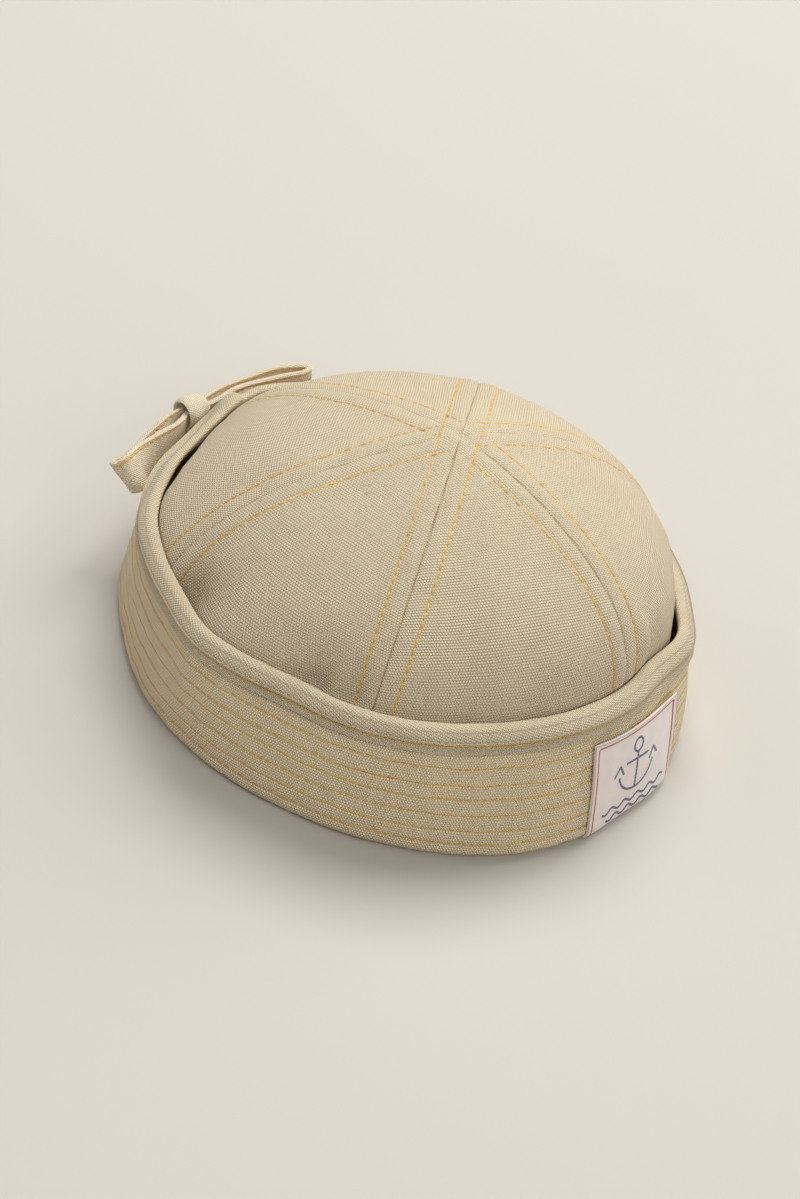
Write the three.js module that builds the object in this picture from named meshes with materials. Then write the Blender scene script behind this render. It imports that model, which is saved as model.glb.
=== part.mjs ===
// Sailor cap: a crown of six canvas panels inside a deep turned-up cuff, with a bound rim, a woven
// patch on the front and a strap bow at the back. Millimetres, +Z up, the front faces -Y.
import * as THREE from 'three';

// Driving dimensions of the cuff and its rim, as half sizes of ovals (x across, y front to back)
const CUFF_OVAL = { x: 91.9, y: 102.1 };
const RIM_OVAL = { x: 85.6, y: 87.8 };
const RIM_HEIGHT = 46.6;
const RIM_TILT = { toRight: -3.6, toBack: 0.9 };
const RIM_SADDLE = { sides: -1.9, corners: 1.0 };
const CUFF_WALL = 2.4;
const CUFF_BELLY = 0.8;
const FOLD_RADIUS = 4.4;
const FOLD_FLAT = 1.8;
const HEM_WALL = 1.8;
const HEM_HEIGHT = 14;
const HEM_CLEARANCE = 0.6;
const STITCH_ROWS = 6;
const FIRST_ROW_DROP = 13.5;
const ROW_GROOVE = 0.35;

// Driving dimensions of the rim's binding: a roll with a flap down each side of the cuff's wall
const ROLL_WIDTH = 6.35;
const ROLL_DROP = 2.2;
const WALL_IN_ROLL = 4.3;
const FLAP_DROP = 7.2;
const FLAP_WALL = 1.0;
const PINCH_DROP = 4.6;
const BINDING_ENDS = { left: 88.0, right: 87.4 };

// Driving dimensions of the crown
const CROWN_HEIGHT = 95.1;
const CROWN_BASE_HEIGHT = 39.5;
const CROWN_BASE_OVAL = { x: 85.1, y: 87.25 };
const HEAD_OVAL = { x: 86.8, y: 96.2 };
const APEX_SHIFT = { x: 2.6, y: -4.4 };
const PANEL_WALL = 1.3;
const APEX_HOLE = 0.016;

// One row per seam, anticlockwise from the front left: its azimuth in degrees, and how full the
// dome is beside it in plan (spread) and in profile (lift); 2 and 2 would be a plain ellipse.
const SEAMS = [
  { azimuth: -149.7, spread: 1.54, lift: 1.99 },
  { azimuth: -89.2, spread: 1.85, lift: 2.25 },
  { azimuth: -23.3, spread: 1.74, lift: 1.86 },
  { azimuth: 29.1, spread: 1.49, lift: 1.9 },
  { azimuth: 88.4, spread: 1.33, lift: 2.08 },
  { azimuth: 150.2, spread: 1.42, lift: 2.12 },
];

// One row per soft swell of the crown, or dimple where out is negative: azimuth and half width in
// degrees, height, half height, reach outwards
const CROWN_SWELLS = [
  { azimuth: 112, across: 50, height: 46, up: 10, out: 1.6 },
  { azimuth: -168, across: 36, height: 46, up: 10, out: 1.0 },
  { azimuth: 115, across: 9, height: 46, up: 9, out: -3.2 },
  { azimuth: 164, across: 9, height: 51, up: 8, out: -1.4 },
  { azimuth: -161, across: 8, height: 53, up: 8, out: -1.2 },
  { azimuth: -62, across: 9, height: 46, up: 9, out: -1.7 },
];

// The crown leans on the rim and follows its swells, most closely at this drop below the rim's top
const RIM_HOLD = { drop: 4, up: 12 };

// One row per swell of the rim and of the fold: azimuth and half width in degrees, reach outwards
const RIM_SWELLS = [
  { azimuth: 171, across: 8, out: 1.8 },
  { azimuth: -166, across: 9, out: -2.0 },
  { azimuth: -140, across: 14, out: 0.7 },
  { azimuth: -79, across: 9, out: -1.6 },
  { azimuth: -63, across: 8, out: 2.4 },
  { azimuth: 80, across: 8, out: 2.8 },
  { azimuth: 104, across: 9, out: -2.0 },
  { azimuth: 136, across: 11, out: 1.1 },
];
const FOLD_SWELLS = [
  { azimuth: -118, across: 13, out: 0.8 },
  { azimuth: -92, across: 8, out: -1.8 },
  { azimuth: 140, across: 12, out: -1.2 },
  { azimuth: 172, across: 20, out: 1.3 },
];

// The woven patch: azimuths of its corners, its drop below the rim at each side, its thickness
const LABEL = { leftTop: -101.6, leftFoot: -102.3, rightTop: -72.0, rightFoot: -75.2 };
const LABEL_DROP = { left: 10.8, right: 13.2 };
const LABEL_WALL = 0.7;
const LABEL_UNDER_ANGLE = 42;

// The bow: the strap's thickness, the knot's centre and half sizes, and a row for each station of a
// strap. Loops stand on edge, tilted outwards by lean degrees. Ends hang flat on the cuff, turned a
// few degrees with it.
const STRAP = { wall: 2.0, bevel: 0.5 };
const KNOT = { x: -7.8, y: 100.8, z: 43.6, halfLength: 5.7, outward: 5.7, upward: 5.4 };
const LOOP_LEFT = [
  { x: -14.2, y: 97.2, z: 42.6, lean: 5, width: 7.5 },
  { x: -15.6, y: 96.8, z: 42.4, lean: 5, width: 9 },
  { x: -20.5, y: 95.5, z: 41.7, lean: 5, width: 12 },
  { x: -26, y: 94.7, z: 41.4, lean: 8, width: 12.5 },
  { x: -33, y: 93.7, z: 41.5, lean: 15, width: 12.5 },
  { x: -41, y: 91.6, z: 42.0, lean: 28, width: 12.5 },
  { x: -47, y: 89.2, z: 41.8, lean: 38, width: 13 },
  { x: -50.6, y: 90.8, z: 40.2, lean: 46, width: 13 },
  { x: -47.2, y: 93.3, z: 38.0, lean: 40, width: 13 },
  { x: -40, y: 94.6, z: 37.8, lean: 30, width: 12.5 },
  { x: -30, y: 97.4, z: 38.6, lean: 20, width: 12.5 },
  { x: -22, y: 99.4, z: 39.9, lean: 12, width: 12 },
  { x: -15.6, y: 101.2, z: 41.6, lean: 6, width: 9 },
  { x: -14.2, y: 101.4, z: 41.8, lean: 6, width: 7.5 },
];
const LOOP_RIGHT = [
  { x: -1.4, y: 98.2, z: 42.6, lean: 0, width: 7.5 },
  { x: 0.0, y: 98.4, z: 42.4, lean: 0, width: 9 },
  { x: 11, y: 98.6, z: 41.6, lean: 0, width: 11.8 },
  { x: 24, y: 96.1, z: 40.4, lean: -2, width: 12.5 },
  { x: 32, y: 93.7, z: 40.4, lean: -2, width: 12.5 },
  { x: 38.5, y: 91.0, z: 40.6, lean: 0, width: 12.5 },
  { x: 42.6, y: 91.2, z: 40.4, lean: 5, width: 12.5 },
  { x: 39.5, y: 94.4, z: 40.2, lean: 5, width: 12.5 },
  { x: 32, y: 97.7, z: 40.2, lean: 4, width: 12.5 },
  { x: 22, y: 99.9, z: 39.8, lean: 2, width: 12.5 },
  { x: 11, y: 101.4, z: 40.0, lean: 4, width: 11.8 },
  { x: 0.0, y: 101.8, z: 41.4, lean: 6, width: 9 },
  { x: -1.4, y: 101.8, z: 41.6, lean: 6, width: 7.5 },
];
const END_LEFT = [
  { x: -10.6, y: 101.0, z: 37.6, turn: 0, width: 5.2 },
  { x: -10.9, y: 101.0, z: 36.5, turn: 0, width: 6 },
  { x: -14.4, y: 100.2, z: 29, turn: 6, width: 11 },
  { x: -17.6, y: 100.5, z: 20, turn: 9, width: 12.5 },
  { x: -19.4, y: 101.8, z: 10, turn: 10, width: 12.5 },
];
const END_RIGHT = [
  { x: -5.0, y: 101.0, z: 37.6, turn: 0, width: 5.2 },
  { x: -4.7, y: 101.0, z: 36.5, turn: 0, width: 6 },
  { x: 0.2, y: 100.6, z: 29, turn: 0, width: 11 },
  { x: 5.4, y: 101.0, z: 20, turn: -3, width: 12.5 },
  { x: 9.6, y: 102.4, z: 12, turn: -5, width: 12.5 },
];

// Mesh fineness and the clearance between pieces
const GAP = 0.35;
const RING_STEPS = 72;
const PANEL_STEPS = { across: 8, dome: 11, skirt: 4 };
const LOOP_STEPS = 26;
const END_STEPS = 8;
const KNOT_STEPS = { along: 6, around: 14 };
const LABEL_STEPS = { across: 10, down: 6, under: 3 };

const rad = THREE.MathUtils.degToRad;
const lerp = THREE.MathUtils.lerp;

// Materials
function cloth(colour, roughness) {
  return new THREE.MeshStandardMaterial({ color: colour, roughness, metalness: 0 });
}
const CANVAS = () => cloth(0xd9cba8, 0.92);
const BINDING = () => cloth(0xddd0b0, 0.92);
const WOVEN_LABEL = () => cloth(0xd8cdc2, 0.8);

// The smallest turn from one azimuth to another, in degrees
function turnBetween(from, to) {
  return THREE.MathUtils.euclideanModulo(to - from + 180, 360) - 180;
}

// The sum of the swells in a table at an azimuth
function swell(rows, azimuth) {
  return rows.reduce((sum, row) => {
    const away = turnBetween(row.azimuth, azimuth) / row.across;
    return sum + row.out * Math.exp(-away * away);
  }, 0);
}

// A point on an oval, moved outwards along the oval's normal
function ovalPoint(oval, azimuth, out, z) {
  const c = Math.cos(rad(azimuth));
  const s = Math.sin(rad(azimuth));
  const normal = new THREE.Vector2(c / oval.x, s / oval.y).normalize();
  return new THREE.Vector3(oval.x * c + out * normal.x, oval.y * s + out * normal.y, z);
}

// The height of the rim's top, which tips and dips around the cap
function rimHeight(azimuth) {
  const a = rad(azimuth);
  const tilt = RIM_TILT.toRight * Math.cos(a) + RIM_TILT.toBack * Math.sin(a);
  const saddle = RIM_SADDLE.sides * Math.cos(2 * a) + RIM_SADDLE.corners * Math.sin(2 * a);
  return RIM_HEIGHT + tilt + saddle;
}

// A point off the cuff wall's outer face, so far below the rim's top and so far out from the face
function wallPoint(azimuth, drop, out) {
  const top = rimHeight(azimuth);
  const run = (drop - ROLL_DROP) / (top - ROLL_DROP - FOLD_RADIUS);
  const belly = CUFF_BELLY * Math.sin(Math.PI * THREE.MathUtils.clamp(run, 0, 1));
  const rim = ovalPoint(RIM_OVAL, azimuth, swell(RIM_SWELLS, azimuth) + WALL_IN_ROLL + out + belly, 0);
  const foot = ovalPoint(CUFF_OVAL, azimuth, swell(FOLD_SWELLS, azimuth) + out + belly, 0);
  return rim.lerp(foot, run).setZ(top - drop);
}

// A point of the fold, seen as an arc about its centre line: 0 is outwards, 90 is straight down
function foldPoint(azimuth, angle, radius) {
  const out = swell(FOLD_SWELLS, azimuth) - FOLD_RADIUS + radius * Math.cos(rad(angle));
  return ovalPoint(CUFF_OVAL, azimuth, out, FOLD_RADIUS - radius * Math.sin(rad(angle)));
}

// The oval of the crown's outer face between its lower edge and the level where the dome begins
function skirtOval(z) {
  const low = FOLD_RADIUS - 2;
  const rise = THREE.MathUtils.smoothstep(z, low, CROWN_BASE_HEIGHT);
  return {
    x: lerp(HEAD_OVAL.x, CROWN_BASE_OVAL.x, rise),
    y: lerp(HEAD_OVAL.y, CROWN_BASE_OVAL.y, rise),
  };
}

// A column of the seam table, eased from row to row around the crown
function seamValue(column, panel, across) {
  const at = (i) => SEAMS[THREE.MathUtils.euclideanModulo(panel + i, SEAMS.length)][column];
  const curve = new THREE.SplineCurve([-1, 0, 1, 2].map((i) => new THREE.Vector2(i, at(i))));
  return curve.getPoint((1 + across) / 3).y;
}

// How far the crown swells at a place, with the rim and by itself
function crownSwell(azimuth, z) {
  const above = (z - rimHeight(azimuth) + RIM_HOLD.drop) / RIM_HOLD.up;
  const held = swell(RIM_SWELLS, azimuth) * Math.exp(-above * above);
  return CROWN_SWELLS.reduce((sum, row) => {
    const sideways = turnBetween(row.azimuth, azimuth) / row.across;
    const upwards = (z - row.height) / row.up;
    return sum + row.out * Math.exp(-sideways * sideways - upwards * upwards);
  }, held);
}

// A point of the crown's outer face: down is 0 at the apex, 1 where the dome ends, 2 at the hem
function crownPoint(panel, across, azimuth, down) {
  if (down > 1) {
    const z = lerp(CROWN_BASE_HEIGHT, FOLD_RADIUS - 2 + GAP, down - 1);
    return ovalPoint(skirtOval(z), azimuth, crownSwell(azimuth, z), z);
  }
  const reach = Math.sin((down * Math.PI) / 2);
  const spread = seamValue('spread', panel, across);
  const lift = seamValue('lift', panel, across);
  const rise = Math.pow(Math.max(1 - Math.pow(reach, spread), 0), 1 / lift);
  const z = lerp(CROWN_BASE_HEIGHT, CROWN_HEIGHT, rise);
  const oval = { x: CROWN_BASE_OVAL.x * reach, y: CROWN_BASE_OVAL.y * reach };
  const point = ovalPoint(oval, azimuth, crownSwell(azimuth, z), z);
  return point.add(new THREE.Vector3(APEX_SHIFT.x * rise, APEX_SHIFT.y * rise, 0));
}

// A closed body from shared points and triangles
function body(points, triangles) {
  const geometry = new THREE.BufferGeometry();
  geometry.setFromPoints(points);
  geometry.setIndex(triangles);
  geometry.computeVertexNormals();
  return geometry;
}

// A closed body between two faces that share a grid: rows of front points and of back points
function slab(front, back) {
  const rows = front.length;
  const columns = front[0].length;
  const points = [...front.flat(), ...back.flat()];
  const at = (side, i, j) => side * rows * columns + i * columns + j;
  const triangles = [];
  const quad = (a, b, c, d) => triangles.push(a, b, c, a, c, d);
  for (let i = 0; i < rows - 1; i++) {
    for (let j = 0; j < columns - 1; j++) {
      quad(at(0, i, j), at(0, i + 1, j), at(0, i + 1, j + 1), at(0, i, j + 1));
      quad(at(1, i, j), at(1, i, j + 1), at(1, i + 1, j + 1), at(1, i + 1, j));
    }
    quad(at(0, i, 0), at(1, i, 0), at(1, i + 1, 0), at(0, i + 1, 0));
    quad(at(0, i, columns - 1), at(0, i + 1, columns - 1), at(1, i + 1, columns - 1), at(1, i, columns - 1));
  }
  for (let j = 0; j < columns - 1; j++) {
    quad(at(0, 0, j), at(0, 0, j + 1), at(1, 0, j + 1), at(1, 0, j));
    quad(at(0, rows - 1, j), at(1, rows - 1, j), at(1, rows - 1, j + 1), at(0, rows - 1, j + 1));
  }
  return body(points, triangles);
}

// A closed body through like sections: all the way round, or with flat ends of the given outline
function loft(sections, outline) {
  const count = sections[0].length;
  const spans = outline ? sections.length - 1 : sections.length;
  const triangles = [];
  for (let i = 0; i < spans; i++) {
    const here = i * count;
    const next = ((i + 1) % sections.length) * count;
    for (let j = 0; j < count; j++) {
      const k = (j + 1) % count;
      triangles.push(here + j, next + j, next + k, here + j, next + k, here + k);
    }
  }
  if (outline) {
    const last = (sections.length - 1) * count;
    for (const [a, b, c] of THREE.ShapeUtils.triangulateShape(outline, [])) {
      triangles.push(a, b, c, last + a, last + c, last + b);
    }
  }
  return body(sections.flat(), triangles);
}

// Crown panels, each between two seams
function crownPanel(panel) {
  const start = SEAMS[panel].azimuth;
  const sweep = THREE.MathUtils.euclideanModulo(seamAfter(panel) - start, 360);
  const steps = PANEL_STEPS.dome + PANEL_STEPS.skirt;
  const front = [];
  const back = [];
  for (let i = 0; i <= steps; i++) {
    const dome = lerp(APEX_HOLE, 1, i / PANEL_STEPS.dome);
    const down = i <= PANEL_STEPS.dome ? dome : 1 + (i - PANEL_STEPS.dome) / PANEL_STEPS.skirt;
    const reach = CROWN_BASE_OVAL.x * Math.sin((Math.min(down, 1) * Math.PI) / 2);
    const inset = THREE.MathUtils.radToDeg(GAP / 2 / reach);
    const frontRow = [];
    const backRow = [];
    for (let j = 0; j <= PANEL_STEPS.across; j++) {
      const azimuth = start + lerp(inset, sweep - inset, j / PANEL_STEPS.across);
      const across = (azimuth - start) / sweep;
      const face = (turn, slide) => crownPoint(panel, across + turn / sweep, azimuth + turn, down + slide);
      const point = face(0, 0);
      const slide = down > 1.99 ? -0.01 : 0.005;
      const downwards = face(0, slide).sub(point).multiplyScalar(Math.sign(slide));
      const sideways = face(0.5, 0).sub(point);
      const inwards = sideways.cross(downwards).normalize();
      frontRow.push(point);
      backRow.push(point.clone().addScaledVector(inwards, PANEL_WALL));
    }
    front.push(frontRow);
    back.push(backRow);
  }
  return slab(front, back);
}

function seamAfter(panel) {
  return SEAMS[(panel + 1) % SEAMS.length].azimuth;
}

// The cuff: outer wall with quilted rows, fold with a flat under it, and the hem inside the crown
function cuffSection(azimuth) {
  const top = rimHeight(azimuth);
  const foldDrop = top - FOLD_RADIUS;
  const wallTop = ROLL_DROP + GAP;
  const pitch = (foldDrop - FIRST_ROW_DROP) / (STITCH_ROWS - 0.5);
  const innerRadius = FOLD_RADIUS - CUFF_WALL;
  const hemFace = (z, out) => ovalPoint(skirtOval(z), azimuth, -PANEL_WALL - HEM_CLEARANCE - out, z);
  const points = [foldPoint(azimuth, 90, FOLD_RADIUS), foldPoint(azimuth, 55, FOLD_RADIUS)];
  points.push(foldPoint(azimuth, 25, FOLD_RADIUS));
  for (let row = STITCH_ROWS - 1; row >= 0; row--) {
    const drop = FIRST_ROW_DROP + row * pitch;
    points.push(wallPoint(azimuth, drop + pitch / 2, 0), wallPoint(azimuth, drop, -ROW_GROOVE));
  }
  points.push(wallPoint(azimuth, FIRST_ROW_DROP - pitch / 2, 0));
  points.push(wallPoint(azimuth, wallTop, 0), wallPoint(azimuth, wallTop, -CUFF_WALL));
  points.push(wallPoint(azimuth, foldDrop / 2, -CUFF_WALL), foldPoint(azimuth, 0, innerRadius));
  points.push(foldPoint(azimuth, 50, innerRadius), foldPoint(azimuth, 90, innerRadius));
  points.push(hemFace(innerRadius, 0).setZ(CUFF_WALL), hemFace(HEM_HEIGHT, 0));
  points.push(hemFace(HEM_HEIGHT, HEM_WALL), hemFace(CUFF_WALL, HEM_WALL));
  points.push(hemFace(CUFF_WALL, HEM_WALL / 2).setZ(CUFF_WALL / 4));
  points.push(ovalPoint(CUFF_OVAL, azimuth, swell(FOLD_SWELLS, azimuth) - FOLD_RADIUS - FOLD_FLAT, 0));
  return points;
}

function cuff() {
  const sections = [];
  for (let i = 0; i < RING_STEPS; i++) {
    sections.push(cuffSection((i * 360) / RING_STEPS));
  }
  return loft(sections);
}

// The binding's outline as drops below the rim's top and distances out from the cuff wall's face
function bindingOutline() {
  const middle = ROLL_WIDTH / 2 - WALL_IN_ROLL;
  const outer = [];
  for (const angle of [-30, 0, 30, 60, 90, 120, 150, 180, 210]) {
    const out = middle + (ROLL_WIDTH / 2) * Math.cos(rad(angle));
    outer.push({ out, drop: ROLL_DROP - (ROLL_DROP + 0.3) * Math.sin(rad(angle)) });
  }
  const slot = { outside: GAP, inside: -CUFF_WALL - GAP };
  return [
    { out: slot.outside + FLAP_WALL, drop: FLAP_DROP },
    { out: slot.outside + FLAP_WALL, drop: PINCH_DROP },
    ...outer,
    { out: slot.inside - FLAP_WALL, drop: PINCH_DROP },
    { out: slot.inside - FLAP_WALL, drop: FLAP_DROP },
    { out: slot.inside, drop: FLAP_DROP },
    { out: slot.inside, drop: ROLL_DROP },
    { out: slot.outside, drop: ROLL_DROP },
    { out: slot.outside, drop: FLAP_DROP },
  ];
}

function rimBinding() {
  const outline = bindingOutline();
  const step = 360 / RING_STEPS;
  const azimuths = [BINDING_ENDS.left];
  for (let i = 0; i < RING_STEPS; i++) {
    azimuths.push((Math.ceil(BINDING_ENDS.left / step) + i) * step);
  }
  azimuths.push(360 + BINDING_ENDS.right);
  const section = (azimuth) => outline.map((point) => wallPoint(azimuth, point.drop, point.out));
  const sections = azimuths.map(section);
  return loft(sections, outline.map((point) => new THREE.Vector2(point.out, -point.drop)));
}

// The woven patch: down the cuff's front and under its fold
function labelPatch() {
  const face = (out) => {
    const rows = [];
    for (let i = 0; i <= LABEL_STEPS.down + LABEL_STEPS.under; i++) {
      const run = Math.min(i / LABEL_STEPS.down, 1);
      const under = Math.max(i - LABEL_STEPS.down, 0) / LABEL_STEPS.under;
      const left = lerp(LABEL.leftTop, LABEL.leftFoot, run);
      const right = lerp(LABEL.rightTop, LABEL.rightFoot, run);
      const row = [];
      for (let j = 0; j <= LABEL_STEPS.across; j++) {
        const across = j / LABEL_STEPS.across;
        const azimuth = lerp(left, right, across);
        const topDrop = lerp(LABEL_DROP.left, LABEL_DROP.right, across);
        const drop = lerp(topDrop, rimHeight(azimuth) - FOLD_RADIUS, run);
        const onFold = foldPoint(azimuth, under * LABEL_UNDER_ANGLE, FOLD_RADIUS + out);
        row.push(under > 0 ? onFold : wallPoint(azimuth, drop, out));
      }
      rows.push(row);
    }
    return rows;
  };
  return slab(face(GAP + LABEL_WALL), face(GAP));
}

// A strap of the bow, swept through its stations; hint gives the way its width runs at a station
function strap(rows, steps, hint) {
  const path = new THREE.CatmullRomCurve3(rows.map((row) => new THREE.Vector3(row.x, row.y, row.z)));
  const widths = new THREE.CatmullRomCurve3(rows.map((row) => hint(row).multiplyScalar(row.width / 2)));
  const half = STRAP.wall / 2;
  const edge = half - STRAP.bevel;
  const outline = [[1, -edge], [1, edge], [0, half], [-1, edge], [-1, -edge], [0, -half]];
  const sections = [];
  for (let i = 0; i <= steps; i++) {
    const t = i / steps;
    const centre = path.getPoint(t);
    const along = path.getTangent(t);
    const across = widths.getPoint(t);
    const width = across.length();
    across.addScaledVector(along, -across.dot(along)).setLength(width);
    const face = across.clone().cross(along).normalize();
    const corner = ([side, depth]) => centre.clone().addScaledVector(across, side).addScaledVector(face, depth);
    sections.push(outline.map(corner));
  }
  return loft(sections, outline.map(([side, depth]) => new THREE.Vector2(side * 6, depth)));
}

const onEdge = (row) => new THREE.Vector3(0, Math.sin(rad(row.lean)), Math.cos(rad(row.lean)));
const hanging = (row) => new THREE.Vector3(Math.cos(rad(row.turn)), Math.sin(rad(row.turn)), 0);

// The knot: a rounded wrap of strap, fullest at its middle
function knot() {
  const circle = [];
  for (let j = 0; j < KNOT_STEPS.around; j++) {
    const angle = (2 * Math.PI * j) / KNOT_STEPS.around;
    circle.push(new THREE.Vector2(Math.cos(angle), Math.sin(angle)));
  }
  const sections = [];
  for (let i = 0; i <= KNOT_STEPS.along; i++) {
    const t = (2 * i) / KNOT_STEPS.along - 1;
    const fullness = 1 - 0.18 * t * t * t * t;
    const x = KNOT.x + KNOT.halfLength * t;
    sections.push(circle.map((p) => new THREE.Vector3(
      x,
      KNOT.y - KNOT.outward * fullness * p.x,
      KNOT.z + KNOT.upward * fullness * p.y,
    )));
  }
  return loft(sections, circle);
}

function part(name, geometry, material) {
  const mesh = new THREE.Mesh(geometry, material);
  mesh.name = name;
  return mesh;
}

function sailorCap() {
  const pieces = new THREE.Group();
  SEAMS.forEach((_, panel) => pieces.add(part(`crown_panel_${panel + 1}`, crownPanel(panel), CANVAS())));
  pieces.add(part('cuff', cuff(), CANVAS()));
  pieces.add(part('rim_binding', rimBinding(), BINDING()));
  pieces.add(part('label', labelPatch(), WOVEN_LABEL()));
  pieces.add(part('tie_knot', knot(), BINDING()));
  pieces.add(part('tie_loop_left', strap(LOOP_LEFT, LOOP_STEPS, onEdge), BINDING()));
  pieces.add(part('tie_loop_right', strap(LOOP_RIGHT, LOOP_STEPS, onEdge), BINDING()));
  pieces.add(part('tie_end_left', strap(END_LEFT, END_STEPS, hanging), BINDING()));
  pieces.add(part('tie_end_right', strap(END_RIGHT, END_STEPS, hanging), BINDING()));

  // The origin is the middle of the cap's footprint, the bow included
  const box = new THREE.Box3().setFromObject(pieces);
  pieces.position.set(-(box.min.x + box.max.x) / 2, -(box.min.y + box.max.y) / 2, 0);
  const group = new THREE.Group();
  group.add(pieces);
  return group;
}

const group = sailorCap();
export default group;
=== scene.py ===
from collections import namedtuple
from math import cos, pi, radians, sin

import bpy
import numpy as np
from mathutils import Matrix, Vector, noise


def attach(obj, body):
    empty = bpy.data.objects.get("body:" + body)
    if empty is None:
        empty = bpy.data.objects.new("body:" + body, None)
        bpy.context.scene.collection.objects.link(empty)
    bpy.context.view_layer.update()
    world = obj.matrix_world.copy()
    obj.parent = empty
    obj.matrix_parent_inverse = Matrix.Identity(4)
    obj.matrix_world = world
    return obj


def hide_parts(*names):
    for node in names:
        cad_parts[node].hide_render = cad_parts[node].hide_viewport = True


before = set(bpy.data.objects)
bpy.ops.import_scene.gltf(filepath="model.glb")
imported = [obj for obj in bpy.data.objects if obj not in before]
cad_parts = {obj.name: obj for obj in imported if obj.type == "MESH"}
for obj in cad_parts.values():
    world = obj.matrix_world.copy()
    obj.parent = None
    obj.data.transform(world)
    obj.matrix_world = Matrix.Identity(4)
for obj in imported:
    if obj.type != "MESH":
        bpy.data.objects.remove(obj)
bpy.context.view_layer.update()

bl_info = {
    "name": "Sailor cap",
    "version": (1, 0, 0),
    "blender": (4, 5, 0),
    "location": "3D View > Sidebar > Sailor Cap",
    "description": "Sews a canvas sailor cap with a turned-up quilted cuff, a patch and a bow",
    "category": "Add Mesh",
}

MM = 0.001

# The cap's ovals are centred here in the frame, a little off the middle of its box
CENTRE = np.array((0.52, -2.30, 0.0)) * MM

# The cuff, its rim and its fold: half sizes of ovals (across, front to back), heights and walls
CUFF_OVAL = (91.9 * MM, 102.1 * MM)
RIM_OVAL = (85.6 * MM, 87.8 * MM)
RIM_HEIGHT = 46.6 * MM
RIM_TILT = (-3.6 * MM, 0.9 * MM)
RIM_SADDLE = (-1.9 * MM, 1.0 * MM)
CUFF_WALL = 2.4 * MM
CUFF_BELLY = 0.8 * MM
FOLD_RADIUS = 4.4 * MM
FOLD_FLAT = 1.8 * MM
HEM_WALL = 1.8 * MM
HEM_HEIGHT = 14 * MM
HEM_CLEARANCE = 0.6 * MM
FIRST_ROW_DROP = 13.5 * MM
ROW_SHARES = (0.0, 0.205, 0.37, 0.565, 0.76, 0.925)

# The rim's binding: a roll with a flap down each side of the cuff's wall
ROLL_WIDTH = 6.35 * MM
ROLL_DROP = 2.2 * MM
ROLL_RISE = 0.3 * MM
WALL_IN_ROLL = 4.3 * MM
SLOT_DROP = 4.0 * MM
FLAP_DROP = 7.2 * MM
FLAP_WALL = 1.0 * MM
BINDING_STITCH_DROP = 4.6 * MM
BINDING_START = 86.2
BINDING_END = 447.4

# The roll's section: squareness of its outer top and of the rest, how it tilts, its outer half's share
ROLL_SQUARENESS = (1.5, 2.6)
ROLL_TILT = 0.8 * MM
ROLL_OUTER_SHARE = 0.78

# The outer flap as shares of its wall and mm below its edge, its stitches' seat, and the inner flap
FLAP_OUTER = ((0, 0), (0.8, 0.12), (1.2, -0.2), (1.25, -0.8), (1.1, -1.6))
FLAP_SEAT = 0.55
FLAP_SEAT_HALF = 0.3 * MM
FLAP_INNER = ((1, -1.4), (1, -0.3), (0.5, 0), (0, 0))

# The cuff's relief: its rows' grooves, the groove below the binding's flap, and its highest place
ROW_DEPTH = 0.42 * MM
ROW_WIDTH = 0.55 * MM
FLAP_GROOVE_DROP = FLAP_DROP + 1.0 * MM
FLAP_GROOVE_DEPTH = 0.5 * MM
FLAP_GROOVE_WIDTH = 0.7 * MM
CUFF_RELIEF_MAX = 0.2 * MM
PUCKER_STRETCH = np.array((1, 1, 0.8))

# Soft waves in the cloth: their size, a seed and their depth
Wave = namedtuple("Wave", "size seed depth")
CROWN_WAVES = (Wave(30 * MM, 3.7, 0.45 * MM), Wave(11 * MM, 8.1, 0.20 * MM))
CUFF_WAVES = (Wave(10 * MM, 5.3, 0.5 * MM), Wave(4.6 * MM, 2.2, 0.44 * MM))
ROLL_WAVES = (Wave(9 * MM, 1.9, 0.20 * MM), Wave(24 * MM, 6.6, 0.16 * MM))
STRAP_WAVES = (Wave(7 * MM, 4.4, 0.25 * MM),)

# The crown: the dome above its base oval, and the skirt down to the head's oval
CROWN_HEIGHT = 95.1 * MM
CROWN_BASE_HEIGHT = 39.5 * MM
CROWN_BASE_OVAL = (85.1 * MM, 87.25 * MM)
HEAD_OVAL = (86.8 * MM, 96.2 * MM)
APEX_SHIFT = (2.6 * MM, -4.4 * MM)
GAP = 0.35 * MM

Seam = namedtuple("Seam", "azimuth spread lift")
SEAMS = (
    Seam(-149.7, 1.54, 1.99),
    Seam(-89.2, 1.85, 2.25),
    Seam(-23.3, 1.74, 1.86),
    Seam(29.1, 1.49, 1.90),
    Seam(88.4, 1.33, 2.08),
    Seam(150.2, 1.42, 2.12),
)

# Each topstitched line starts this far in mm from the seam that joins the crown's two halves. Side is
# +1 where the line is anticlockwise of its seam, seen from above.
Topstitch = namedtuple("Topstitch", "seam side clear")
TOPSTITCHES = [Topstitch(seam, side, clear * MM) for seam, side, clear in (
    (1, -1, 0.6), (1, 1, 6.5), (2, -1, 5.8), (2, 1, 0.8), (4, -1, 0.4), (4, 1, 7.6), (5, -1, 6.3),
    (5, 1, 0.4),
)]
HALVES_SEAM = (0, 3)

# How deep each seam's own groove is, as a share of GROOVE_DEPTH, before it is limited
SEAM_GROOVES = (1.5, 1.0, 0.25, 0.9, 0.15, 0.4)
GROOVE_DEPTH = 0.62 * MM
GROOVE_WIDTH = 0.45 * MM
HALVES_GROOVE_WIDTH = 0.6 * MM
GROOVE_FADE = 12 * MM

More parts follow.
